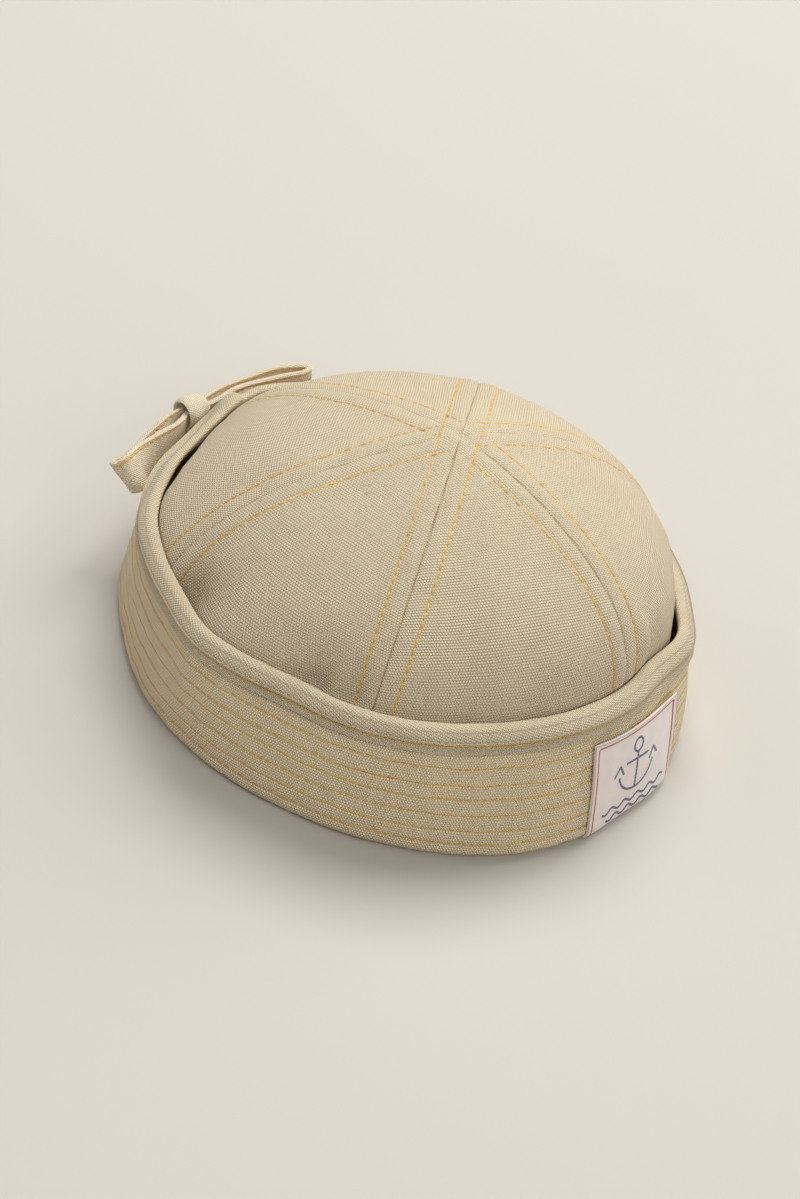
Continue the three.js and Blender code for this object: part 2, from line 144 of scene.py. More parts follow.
# Beside a seam: the raised seam allowance, the dip under the stitches and the puffs around them
ALLOWANCE_HEIGHT = 0.36 * MM
ALLOWANCE_MARGIN = 1.3 * MM
ALLOWANCE_EDGE = 1.2 * MM
STITCH_DIP = 0.34 * MM
STITCH_DIP_WIDTH = 0.6 * MM
SEAM_PUFF = 0.34 * MM
OUTER_PUFF_SHARE = 0.6
OUTER_PUFF_PLACE = 1.7
SEAM_RELIEF_RANGE = (-1.0 * MM, 0.4 * MM)

# Rows of swells on the crown: azimuth and reach in degrees, then height, reach up and out in mm
CROWN_SWELLS = (
    (112, 50, 46, 10, 1.6), (-168, 36, 46, 10, 1.0), (115, 9, 46, 9, -3.2), (164, 9, 51, 8, -1.4),
    (-161, 8, 53, 8, -1.2), (-62, 9, 46, 9, -1.7),
)

# Soft folds in the crown's cloth: dimples beside the rim, a ridge beside the front seam
CROWN_FOLDS = (
    (103, 8, 45, 8, 0.9), (119, 8, 52, 6, 1.0), (134, 7, 45, 8, 0.9), (160, 4.5, 46, 9, -3.4),
    (167, 4, 56, 13, -1.1), (175, 5, 50, 10, 0.8), (-163, 3.2, 47, 7, -2.6), (-168, 3, 56, 12, -0.5),
    (-154, 2.8, 49, 8, -2.2), (-158, 2.2, 54, 9, 0.7), (-81, 2.6, 58, 9, 1.2),
    (-76.5, 2.6, 56, 10, -1.0), (-116, 2.6, 58, 14, -1.3), (-123, 2.6, 62, 13, 0.7),
    (-130, 3, 60, 13, -1.2), (-139, 3, 64, 14, 0.4), (-47, 3, 62, 12, -0.7), (-40, 3.5, 66, 12, 0.5),
)

# The crown leans on the rim and follows its swells, most closely at this drop below the rim's top
RIM_HOLD_DROP = 4 * MM
RIM_HOLD_UP = 12 * MM

# The crown stays this clear of the roll down to a drop, and is free again above the roll's crest
ROLL_CLEARANCE = 0.62 * MM
HELD_DROP = 12 * MM
ROLL_CREST_DROP = 0.5 * MM
ROLL_CREST_FREE = 1.2 * MM

Swell = namedtuple("Swell", "azimuth across out")
RIM_SWELLS = (
    Swell(171, 8, 1.8 * MM),
    Swell(-166, 9, -2.0 * MM),
    Swell(-140, 14, 0.7 * MM),
    Swell(-79, 9, -1.6 * MM),
    Swell(-63, 8, 2.4 * MM),
    Swell(80, 8, 2.8 * MM),
    Swell(104, 9, -2.0 * MM),
    Swell(136, 11, 1.1 * MM),
)
# Where the rim's roll is pressed narrower or bulges wider, as a share, and where it leans inwards
ROLL_PRESSES = (
    Swell(105, 11.5, 0.34),
    Swell(136, 6, -0.12),
)
ROLL_LEANS = (Swell(118, 9, -0.9 * MM),)

# The roll's rounded start laps over its end: degrees of its nose and lap, how far it moves out and up
ROLL_NOSE = 1.4
LAP_SWEEP = 9
LAP_EASE = 7
ROLL_LAP = (1.2 * MM, 1.9 * MM)
UNDERLAP_SWEEP = 14
UNDERLAP_EASE = 8
FOLD_SWELLS = (
    Swell(-118, 13, 0.8 * MM),
    Swell(-92, 8, -1.8 * MM),
    Swell(140, 12, -1.2 * MM),
    Swell(172, 20, 1.3 * MM),
)

# The patch: azimuths of its corners, its drop below the rim at each side, its thickness
LABEL_TOP = (-101.6, -72.0)
LABEL_FOOT = (-102.3, -75.2)
LABEL_DROP = (10.8 * MM, 13.2 * MM)
LABEL_WALL = 0.7 * MM
LABEL_UNDER_ANGLE = 42
LABEL_WIDTH = 47.5 * MM
LABEL_FACE = 31.0 * MM
LABEL_UNDER = FOLD_RADIUS * radians(LABEL_UNDER_ANGLE)
LABEL_CURL = 1.6 * MM
LABEL_LIFT = 0.75 * MM
LABEL_RIPPLE = 0.10 * MM

# Raised lines on the patch: their section as shares of width and height, and each one's inset,
# width and height
RIBBON_SECTION = (
    (-0.5, -0.6), (-0.42, 0.5), (-0.2, 0.92), (0, 1), (0.2, 0.92), (0.42, 0.5), (0.5, -0.6), (-0.5, -0.6),
)
BORDER_LINE = (1.9 * MM, 0.75 * MM, 0.08 * MM)
# The edge line is near-black and lies right at the patch's edge: partly its dark woven edge, partly painted
# shadow of the lifted edge
EDGE_SHADOW_LINE = (0.2 * MM, 0.4 * MM, 0.05 * MM)
MOTIF_LINE = (0.95 * MM, 0.14 * MM)

# The bow: rows of stations along each strap. Loops stand on edge and tilt by turn degrees; ends hang
# flat on the cuff, turned with it. Skew leans a loop's edge sideways. Lengths are in millimetres.
Station = namedtuple("Station", "x y z turn width skew", defaults=(0,))
LOOP_LEFT = (
    (-10.2, 99.1, 43.7, 8, 3.8), (-12.6, 98.5, 43.4, 8, 4.8), (-15.6, 97.0, 42.6, 6, 8.2),
    (-20.5, 95.5, 41.7, 5, 11), (-26, 94.7, 41.4, 8, 12.5), (-33, 93.7, 41.5, 15, 12.5),
    (-40, 91.9, 42.0, 27, 12.5, 0.4), (-44.3, 90.0, 41.8, 36, 13, 1.2),
    (-47.1, 89.8, 40.8, 44, 13, 1.8), (-48.2, 91.2, 39.9, 46, 12.6, 1.8),
    (-46.9, 92.8, 38.8, 44, 12.6, 1.8), (-43.8, 93.7, 38.1, 40, 13, 1.2),
    (-39, 94.8, 37.9, 34, 12.5, 0.4), (-30, 97.4, 38.7, 28, 12.5), (-22, 99.4, 40.0, 25, 11.5),
    (-16, 101.2, 41.6, 24, 8.4), (-12.6, 101.9, 42.9, 22, 5.0), (-10.2, 102.0, 43.3, 20, 4.0),
)
LOOP_RIGHT = (
    (-2.6, 99.4, 43.4, 0, 4.4), (0, 98.7, 43.0, -4, 5.6), (5, 98.5, 42.4, -6, 8.4),
    (12, 98.5, 41.6, -4, 11.2), (24, 96.1, 40.4, -2, 12.5), (32, 93.7, 40.4, -2, 12.5),
    (38.5, 91.0, 40.6, 0, 12.5), (42.6, 91.2, 40.4, 5, 12.5), (39.5, 94.4, 40.4, 6, 12.5),
    (32, 97.7, 40.6, 8, 12.5), (22, 99.9, 40.3, 10, 12.2), (12, 101.4, 40.6, 14, 10.6),
    (5, 101.8, 41.6, 16, 8), (0, 101.9, 42.4, 16, 5.6), (-2.6, 101.8, 42.8, 16, 4.4),
)
END_LEFT = (
    (-10.7, 101.0, 36.7, 0, 5.0), (-11.7, 100.8, 33.8, 2, 7.0), (-14.4, 100.2, 29, 6, 11),
    (-17.6, 100.5, 20, 9, 12.5), (-19.4, 101.8, 10, 10, 12.5),
)
END_RIGHT = (
    (-4.9, 101.0, 36.7, 0, 5.0), (-3.6, 100.9, 33.8, 0, 7.0), (0.2, 100.6, 29, 0, 11),
    (5.4, 101.0, 20, -3, 12.5), (9.6, 102.4, 12, -5, 12.5),
)
# Each strap's piece, stations, steps, whether it hangs, and the solid that it replaces
STRAPS = (
    ("bow_loop_left", LOOP_LEFT, 110, False, "tie_loop_left"),
    ("bow_loop_right", LOOP_RIGHT, 110, False, "tie_loop_right"),
    ("bow_end_left", END_LEFT, 40, True, "tie_end_left"),
    ("bow_end_right", END_RIGHT, 40, True, "tie_end_right"),
)
STRAP_STITCH_SHARE = 0.74

KNOT_CENTRE = np.array((-7.8, 100.8, 43.6)) * MM
KNOT_OUTWARD = 5.7 * MM
KNOT_UPWARD = 5.4 * MM

# The knot from its hollow left end to its right one: place along X from its centre, share of its size
KNOT_SLANT = 0.9 * MM
KNOT_SECTIONS = (
    (0.6, 0.0), (0.4, 0.36), (-0.6, 0.62), (-2.0, 0.70), (-3.0, 0.74), (-3.7, 0.80), (-3.9, 0.88),
    (-3.5, 0.95), (-2.6, 1.0), (-1.4, 1.02), (0.0, 1.01), (1.4, 0.98), (2.8, 0.94), (4.0, 0.90),
    (5.0, 0.84), (5.6, 0.76), (5.7, 0.68), (5.2, 0.62), (4.2, 0.56), (3.4, 0.36), (3.2, 0.0),
)

# The camera, at the photograph's angle: its place, and its axes as rows
CAMERA_PLACE = np.array((-614.945, -415.669, 648.454)) * MM
CAMERA_AXES = (
    (0.6626163, -0.7315508, 0.1605399),
    (0.4024630, 0.5285623, 0.7474258),
    (-0.6316353, -0.4306452, 0.6446562),
)
CAMERA_SENSOR = 36.0
CAMERA_LENS = 86.37

# The softboxes: name, place, width of the square and power; and the world's light
SOFTBOXES = (
    ("key_softbox", (2.22, -0.42, 1.70), 1.6, 30.0),
    ("side_softbox", (-0.42, -2.22, 1.70), 1.6, 19.0),
    ("front_softbox", (-1.49, -1.01, 2.30), 1.8, 18.0),
    ("left_softbox", (-1.24, 1.82, 1.80), 1.8, 15.0),
    ("top_softbox", (1.07, 0.73, 2.60), 1.8, 72.0),
)
WORLD_STRENGTH = 0.085
FLOOR_SIZE = 12

# The stitch lines' seeds, and how wide the thread is beside the crown's
CROWN_THREAD = (11, 1.0)
CUFF_THREAD = (12, 0.8)
BINDING_THREAD = (13, 0.8)
BOW_THREAD = (14, 0.9)

# Distances in mm from a panel's seams where its columns of points stand
PANEL_DISTANCES = (
    0, 0.12, 0.26, 0.42, 0.62, 0.95, 1.5, 2.3, 3.2, 4.2, 5.1, 5.6, 5.95, 6.35, 6.75, 7.15, 7.7,
    8.4, 9.4, 10.8, 12.6, 15, 18, 22, 26.5, 31.5, 37,
)

# The weave's contrast, which sets the depth of its painted shade and highlight, and the finer pitch, turn
# and contrast of cloth that is cut on the bias
CANVAS_CONTRAST = 1.35
BIAS_WEAVE = (0.8, pi / 4, 0.7)


# Shape of the cap, in metres around the centre of its ovals. Azimuths are in degrees.
def turn_between(start, end):
    """The smallest turn from one azimuth to another."""
    return (end - start + 180) % 360 - 180


def swell(rows, azimuth):
    """The sum of a table's swells at an azimuth."""
    total = 0
    for row in rows:
        total = total + row.out * np.exp(-((turn_between(row.azimuth, azimuth) / row.across) ** 2))
    return total


def oval_point(oval, azimuth, out, z):
    """A point on an oval, moved outwards along the oval's normal."""
    c = np.cos(np.radians(azimuth))
    s = np.sin(np.radians(azimuth))
    length = np.hypot(c / oval[0], s / oval[1])
    x = oval[0] * c + out * c / oval[0] / length
    y = oval[1] * s + out * s / oval[1] / length
    return np.stack(np.broadcast_arrays(x, y, z), axis=-1)


def rim_height(azimuth):
    """The height of the rim's top, which tips and dips around the cap."""
    a = np.radians(azimuth)
    tilt = RIM_TILT[0] * np.cos(a) + RIM_TILT[1] * np.sin(a)
    saddle = RIM_SADDLE[0] * np.cos(2 * a) + RIM_SADDLE[1] * np.sin(2 * a)
    return RIM_HEIGHT + tilt + saddle


def wall_point(azimuth, drop, out):
    """A point off the cuff wall's outer face, so far below the rim's top and so far out."""
    top = rim_height(azimuth)
    run = (drop - ROLL_DROP) / (top - ROLL_DROP - FOLD_RADIUS)
    out = out + CUFF_BELLY * np.sin(pi * np.clip(run, 0, 1))
    rim = oval_point(RIM_OVAL, azimuth, swell(RIM_SWELLS, azimuth) + WALL_IN_ROLL + out, 0)
    foot = oval_point(CUFF_OVAL, azimuth, swell(FOLD_SWELLS, azimuth) + out, 0)
    run = np.broadcast_to(run, rim.shape[:-1])[..., None]
    point = rim + (foot - rim) * run
    point[..., 2] = top - drop
    return point


def fold_point(azimuth, angle, radius):
    """A point of the fold, seen as an arc: angle 0 is outwards, 90 is straight down."""
    a = np.radians(angle)
    out = swell(FOLD_SWELLS, azimuth) - FOLD_RADIUS + radius * np.cos(a)
    return oval_point(CUFF_OVAL, azimuth, out, FOLD_RADIUS - radius * np.sin(a))


def skirt_oval(z):
    """The oval of the crown's outer face between its lower edge and the base of the dome."""
    low = FOLD_RADIUS - 2 * MM
    t = np.clip((z - low) / (CROWN_BASE_HEIGHT - low), 0, 1)
    rise = t * t * (3 - 2 * t)
    return [HEAD_OVAL[i] + (CROWN_BASE_OVAL[i] - HEAD_OVAL[i]) * rise for i in (0, 1)]


def spline(around, t):
    """A place between the middle two of four on a smooth curve through them, at a share t."""
    p0, p1, p2, p3 = around
    start = (p2 - p0) / 2
    end = (p3 - p1) / 2
    bend = 3 * (p2 - p1) - 2 * start - end
    return (2 * (p1 - p2) + start + end) * t**3 + bend * t**2 + start * t + p1


def seam_value(column, azimuth):
    """A column of the seam table, eased from seam to seam around the crown."""
    value = np.zeros(np.shape(azimuth))
    for panel in range(len(SEAMS)):
        across = ((azimuth - SEAMS[panel].azimuth) % 360) / panel_sweep(panel)
        inside = across < 1
        around = [getattr(SEAMS[(panel + i) % len(SEAMS)], column) for i in (-1, 0, 1, 2)]
        value = np.where(inside, spline(around, np.where(inside, across, 0)), value)
    return value


def panel_sweep(panel):
    """The angle between a panel's two seams."""
    return (SEAMS[(panel + 1) % len(SEAMS)].azimuth - SEAMS[panel].azimuth) % 360


def crown_swell(azimuth, z):
    """How far the crown swells at a place, with the rim and by itself."""
    above = (z - rim_height(azimuth) + RIM_HOLD_DROP) / RIM_HOLD_UP
    total = swell(RIM_SWELLS, azimuth) * np.exp(-(above**2))
    return total + crown_lumps(CROWN_SWELLS, azimuth, z)


def crown_lumps(rows, azimuth, z):
    """The sum of a table's swells over the crown."""
    total = 0.0
    for middle, across, height, up, out in rows:
        sideways = turn_between(middle, azimuth) / across
        upwards = (z / MM - height) / up
        total = total + out * MM * np.exp(-(sideways**2) - upwards**2)
    return total


def crown_point(azimuth, down):
    """A point of the crown's outer face: down is 0 at the apex, 1 where the dome ends, 2 at the hem."""
    azimuth, down = np.broadcast_arrays(np.asarray(azimuth, float), np.asarray(down, float))
    reach = np.sin(np.clip(down, 0, 1) * pi / 2)
    spread = seam_value("spread", azimuth)
    lift = seam_value("lift", azimuth)
    rise = np.maximum(1 - reach**spread, 0) ** (1 / lift)
    skirt = np.clip(down - 1, 0, 1)
    z_dome = CROWN_BASE_HEIGHT + (CROWN_HEIGHT - CROWN_BASE_HEIGHT) * rise
    z_skirt = CROWN_BASE_HEIGHT + (FOLD_RADIUS - 2 * MM + GAP - CROWN_BASE_HEIGHT) * skirt
    z = np.where(down > 1, z_skirt, z_dome)
    out = crown_swell(azimuth, z)
    inner = np.maximum(reach, 1e-4)
    dome = oval_point([CROWN_BASE_OVAL[0] * inner, CROWN_BASE_OVAL[1] * inner], azimuth, out, z)
    dome[..., 0] += APEX_SHIFT[0] * rise
    dome[..., 1] += APEX_SHIFT[1] * rise
    return np.where((down > 1)[..., None], oval_point(skirt_oval(z_skirt), azimuth, out, z), dome)


def unit(vectors):
    """Vectors at length one."""
    return vectors / np.maximum(np.linalg.norm(vectors, axis=-1, keepdims=True), 1e-12)


def crown_normal(azimuth, down):
    """The outward normal of the crown's face, straight up at the apex."""
    low = np.maximum(down - 0.004, 0.002)
    along = crown_point(azimuth, low + 0.008) - crown_point(azimuth, low)
    beside = np.maximum(down, 0.02)
    sideways = crown_point(azimuth + 0.4, beside) - crown_point(azimuth - 0.4, beside)
    normal = unit(np.cross(along, sideways))
    upright = np.clip(1 - down / 0.06, 0, 1)[..., None]
    return unit(normal * (1 - upright) + np.array((0, 0, 1.0)) * upright)


def seam_direction(seam):
    """The way a seam runs from the apex, seen from above."""
    a = radians(SEAMS[seam].azimuth)
    direction = np.array((CROWN_BASE_OVAL[0] * cos(a), CROWN_BASE_OVAL[1] * sin(a)))
    return direction / np.linalg.norm(direction)


def seam_distance(azimuth, down, seam):
    """How far a place on the crown lies to the side of a seam, and how far along it."""
    reach = np.sin(np.clip(down, 0, 1) * pi / 2)
    a = np.radians(azimuth)
    x = CROWN_BASE_OVAL[0] * reach * np.cos(a)
    y = CROWN_BASE_OVAL[1] * reach * np.sin(a)
    way = seam_direction(seam)
    return way[0] * y - way[1] * x, way[0] * x + way[1] * y


def rounded_step(distance, edge, width):
    """One inside an edge and nothing outside it, eased over a width."""
    t = np.clip((edge - distance) / width + 0.5, 0, 1)
    return t * t * (3 - 2 * t)


def soft_noise(points, size, seed):
    """Smooth noise from -1 to 1 at points, with lumps of a size."""
    flat = points.reshape(-1, 3) / size + seed
    values = [noise.noise(Vector(p)) for p in flat]
    return np.array(values).reshape(points.shape[:-1])


def waves(rows, points):
    """The sum of a table's waves at points."""
    return sum(soft_noise(points, row.size, row.seed) * row.depth for row in rows)


def crown_relief(azimuth, down, sizes):
    """How far the sewn cloth stands off the crown's plain face."""
    offset = sizes.seam_stitch_offset
    bare = 1.0
    depth = 0.0
    for seam, strength in enumerate(SEAM_GROOVES):
        side, along = seam_distance(azimuth, down, seam)
        distance = np.where(along > 0, np.abs(side), np.hypot(side, along))
        bare = bare * (1 - rounded_step(distance, offset + ALLOWANCE_MARGIN, ALLOWANCE_EDGE))
        width = HALVES_GROOVE_WIDTH
        if seam not in HALVES_SEAM:
            width = GROOVE_WIDTH
            strength = strength * np.clip(along / GROOVE_FADE, 0, 1)
        depth = depth - strength * GROOVE_DEPTH * np.clip(1 - distance / width, 0, 1) ** 1.5
        past = distance - offset
        puff = np.sin(pi * np.clip(distance / offset, 0, 1))
        puff = puff + OUTER_PUFF_SHARE * np.exp(-((past / MM - OUTER_PUFF_PLACE) ** 2))
        beside = SEAM_PUFF * puff - STITCH_DIP * np.exp(-((past / STITCH_DIP_WIDTH) ** 2))
        depth = depth + np.where(along > 0, beside, 0)
    plain = crown_point(azimuth, down)
    loose = waves(CROWN_WAVES, plain) + crown_lumps(CROWN_FOLDS, azimuth, plain[..., 2])
    return ALLOWANCE_HEIGHT * (1 - bare) + np.clip(depth, *SEAM_RELIEF_RANGE) + loose


def crown_face(azimuth, down, sizes):
    """A point of the sewn crown's face, held back from the rim's roll."""
    relief = crown_relief(azimuth, down, sizes)
    point = crown_point(azimuth, down) + crown_normal(azimuth, down) * relief[..., None]
    drop = rim_height(azimuth) - point[..., 2]
    inner = wall_point(azimuth, drop, -WALL_IN_ROLL - ROLL_CLEARANCE)
    above = np.maximum(ROLL_CREST_DROP - drop, 0) / MM
    limit = np.hypot(inner[..., 0], inner[..., 1]) + above**2 * ROLL_CREST_FREE
    reach = np.hypot(point[..., 0], point[..., 1])
    held = np.where(drop < HELD_DROP, np.minimum(limit / np.maximum(reach, 1e-6), 1), 1)
    point[..., :2] *= held[..., None]
    return point


def row_drops(azimuth):
    """The drops below the rim of the cuff's rows of stitches."""
    reach = rim_height(azimuth) - FOLD_RADIUS - FIRST_ROW_DROP
    return [FIRST_ROW_DROP + share * reach for share in ROW_SHARES]


def cuff_relief(azimuth, drop):
    """How far the quilted wall stands off its plain face: grooves at the rows, and puckers."""
    total = 0.0
    for stitch_drop in row_drops(azimuth):
        total = total - ROW_DEPTH * np.exp(-(((drop - stitch_drop) / ROW_WIDTH) ** 2))
    below_flap = (drop - FLAP_GROOVE_DROP) / FLAP_GROOVE_WIDTH
    total = total - FLAP_GROOVE_DEPTH * np.exp(-(below_flap**2))
    place = wall_point(azimuth, drop, 0) * PUCKER_STRETCH
    return np.minimum(total + waves(CUFF_WAVES, place), CUFF_RELIEF_MAX)


def wall_face(azimuth, drop, lift=0.0):
    """A point of the quilted wall's face."""
    return wall_point(azimuth, drop, cuff_relief(azimuth, drop) + lift)


# Making meshes
def deselect_all():
    bpy.ops.object.select_all(action="DESELECT")


def select_only(*pieces):
    """Selects these pieces and nothing else, the first one active."""
    deselect_all()
    for piece in pieces:
        piece.select_set(True)
    bpy.context.view_layer.objects.active = pieces[0]


def laid_out(round_way, down_way):
    """Places on the flat cloth for columns and rows of points at these distances."""
    return np.stack(np.broadcast_arrays(round_way[None, :], down_way[:, None]), axis=-1)


def sewn_grid(name, points, cloth, close=False):
    """A sheet of rows and columns of points, whose UV map is its place on the flat cloth in metres."""
    rows, columns = points.shape[:2]
    deselect_all()
    bpy.ops.mesh.primitive_grid_add(x_subdivisions=columns - 1, y_subdivisions=rows - 1, size=1)
    piece = bpy.context.active_object
    piece.name = name
    piece.data.name = name
    mesh = piece.data
    if len(mesh.vertices) != rows * columns:
        raise RuntimeError(f"{name}: the grid has {len(mesh.vertices)} points for {rows} x {columns}")
    flat = np.zeros(len(mesh.vertices) * 3)
    mesh.vertices.foreach_get("co", flat)
    flat = flat.reshape(-1, 3)
    order = np.lexsort((np.round(flat[:, 0], 6), np.round(flat[:, 1], 6)))
    rank = np.empty(len(order), int)
    rank[order] = np.arange(len(order))
    placed = points.reshape(-1, 3)[rank] + CENTRE
    corners = np.zeros(len(mesh.loops), int)
    mesh.loops.foreach_get("vertex_index", corners)
    mesh.uv_layers[0].data.foreach_set("uv", cloth.reshape(-1, 2)[rank][corners].astype(np.float32).ravel())
    mesh.uv_layers[0].name = "cloth"
    mesh.vertices.foreach_set("co", placed.astype(np.float32).ravel())
    mesh.update()
    bpy.ops.object.mode_set(mode="EDIT")
    bpy.ops.mesh.select_all(action="SELECT")
    bpy.ops.mesh.remove_doubles(threshold=0.002 * MM)
    if close:
        bpy.ops.mesh.fill_holes(sides=0)
        bpy.ops.mesh.select_all(action="SELECT")
        bpy.ops.mesh.normals_make_consistent(inside=False)
    bpy.ops.object.mode_set(mode="OBJECT")
    return piece


def thicken(piece, wall):
    """Gives a sheet a wall on its inner side."""
    select_only(piece)
    modifier = piece.modifiers.new("Wall", "SOLIDIFY")
    modifier.thickness = wall
    modifier.offset = -1.0
    bpy.ops.object.modifier_apply(modifier=modifier.name)


def finish_piece(piece, material, nodes=()):
    """Gives a piece its material and smooth faces, attaches it to the root body and hides the parts that it
    stands for.
    """
    piece.data.materials.clear()
    piece.data.materials.append(material)
    select_only(piece)
    bpy.ops.object.shade_smooth_by_angle(angle=radians(50))
    piece.select_set(False)
    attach(piece, "root")
    if nodes:
        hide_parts(*nodes)


def arc_lengths(points):
    """Distances along a line of points from its start."""
    steps = np.linalg.norm(np.diff(points, axis=0), axis=1)
    return np.concatenate(([0.0], np.cumsum(steps)))


def smooth_path(points, steps):
    """Points spread evenly in step along a smooth curve through the given ones."""
    points = np.asarray(points, float)
    knots = np.vstack((2 * points[0] - points[1], points, 2 * points[-1] - points[-2]))
    spans = len(points) - 1
    made = []
    for i in range(steps + 1):
        place = i * spans / steps
        k = min(int(place), spans - 1)
        made.append(spline(knots[k:k + 4], place - k))
    return np.array(made)


# Stitches: one grain of thread, copied along each line
def stitch_grain(length, width):
    """Points and faces of one stitch lying along X, its ends sunk into the cloth."""
    deselect_all()
    bpy.ops.mesh.primitive_uv_sphere_add(segments=6, ring_count=5, radius=0.5)
    grain = bpy.context.active_object
    bpy.ops.object.mode_set(mode="EDIT")
    bpy.ops.mesh.select_all(action="SELECT")
    bpy.ops.transform.rotate(value=pi / 2, orient_axis="Y", center_override=(0, 0, 0))
    bpy.ops.transform.resize(value=(length, width, width * 0.66), center_override=(0, 0, 0))
    bpy.ops.object.mode_set(mode="OBJECT")
    points = np.array([v.co for v in grain.data.vertices])
    points[:, 0] = np.sign(points[:, 0]) * np.abs(2 * points[:, 0] / length) ** 0.45 * length / 2
    faces = [tuple(face.vertices) for face in grain.data.polygons]
    bpy.data.objects.remove(grain)
    return points, faces


def place_along(distance, lengths, rows):
    """The row at a distance along a line."""
    return np.array([np.interp(distance, lengths, rows[:, k]) for k in range(3)])


def place_stitches(lines, sizes, width, seed):
    """Points, faces, tones and nearness to an end of the stitches along lines of points and normals."""
    grain, grain_faces = stitch_grain(sizes.stitch_length, width)
    pitch = sizes.stitch_length + sizes.stitch_gap
    random = np.random.default_rng(seed)
    points = []
    faces = []
    tones = []
    for line, normals in lines:
        lengths = arc_lengths(line)
        count = max(int(round(lengths[-1] / pitch)), 1)
        middles = (np.arange(count) + 0.5) * lengths[-1] / count
        for middle in middles:
            start = place_along(middle - sizes.stitch_length / 2, lengths, line)
            end = place_along(middle + sizes.stitch_length / 2, lengths, line)
            up = unit(place_along(middle, lengths, normals))
            along = unit(end - start)
            up = unit(up - along * np.dot(up, along))
            side = np.cross(up, along) * (1 + random.uniform(-0.08, 0.08))
            centre = (start + end) / 2 + side * random.normal(0, 0.05 * MM)
            curve = (grain[:, :1] / sizes.stitch_length * 2) ** 2
            lifted = grain[:, 2:] + width * (0.36 - 0.42 * curve**2)
            placed = centre + grain[:, :1] * along + grain[:, 1:2] * side + lifted * up
            base = len(points) * len(grain)
            faces.extend(tuple(base + v for v in face) for face in grain_faces)
            points.append(placed)
            tones.append(random.uniform(0, 1))
    ends = np.tile(np.abs(grain[:, 0]) / sizes.stitch_length * 2, len(tones))
    return np.concatenate(points) + CENTRE, faces, np.repeat(tones, len(grain)), ends


def stitch_piece(name, lines, sizes, material, thread):
    """One piece of many stitches. Thread is a seed and its width as a share of the crown's."""
    seed, share = thread
    points, faces, tones, ends = place_stitches(lines, sizes, sizes.thread_width * share, seed)
    mesh = bpy.data.meshes.new(name)
    mesh.from_pydata(points.tolist(), [], faces)
    for attribute, values in (("tone", tones), ("end", ends)):
        layer = mesh.attributes.new(attribute, "FLOAT", "POINT")
        layer.data.foreach_set("value", values.astype(np.float32))
    piece = bpy.data.objects.new(name, mesh)
    bpy.context.scene.collection.objects.link(piece)
    finish_piece(piece, material)


def crown_line(seam, side, clear, sizes):
    """A topstitched line beside a seam, from near the apex to the rim, and its normals."""
    way = seam_direction(seam)
    beside = np.array((-way[1], way[0]))
    halves = seam_direction(HALVES_SEAM[0])
    travel = np.linspace(-12 * MM, 100 * MM, 700)
    plan = travel[:, None] * way + side * sizes.seam_stitch_offset * beside
    ahead = plan @ way
    if seam in HALVES_SEAM:
        keep = ahead > 0
    else:
        own_side = np.sign(halves[0] * way[1] - halves[1] * way[0])
        keep = (halves[0] * plan[:, 1] - halves[1] * plan[:, 0]) * own_side > clear
    reach = np.hypot(plan[:, 0] / CROWN_BASE_OVAL[0], plan[:, 1] / CROWN_BASE_OVAL[1])
    keep = keep & (reach < 0.9995)
    plan = plan[keep]
    reach = reach[keep]
    azimuth = np.degrees(np.arctan2(plan[:, 1] / CROWN_BASE_OVAL[1], plan[:, 0] / CROWN_BASE_OVAL[0]))
    down = np.arcsin(reach) * 2 / pi
    return crown_face(azimuth, down, sizes), crown_normal(azimuth, down)


def wall_line(azimuths, drops, lift):
    """A line along the cuff's wall, and its normals."""
    line = wall_face(azimuths, drops, lift)
    ahead = wall_face(azimuths + 0.3, drops, lift) - line
    down = wall_point(azimuths, drops + 1 * MM, 0) - wall_point(azimuths, drops, 0)
    return line, unit(np.cross(down, ahead))


# Materials. Their numbers are shares, or millimetres on the flat cloth.
MM_PER_METRE = (1000, 1000, 1000)


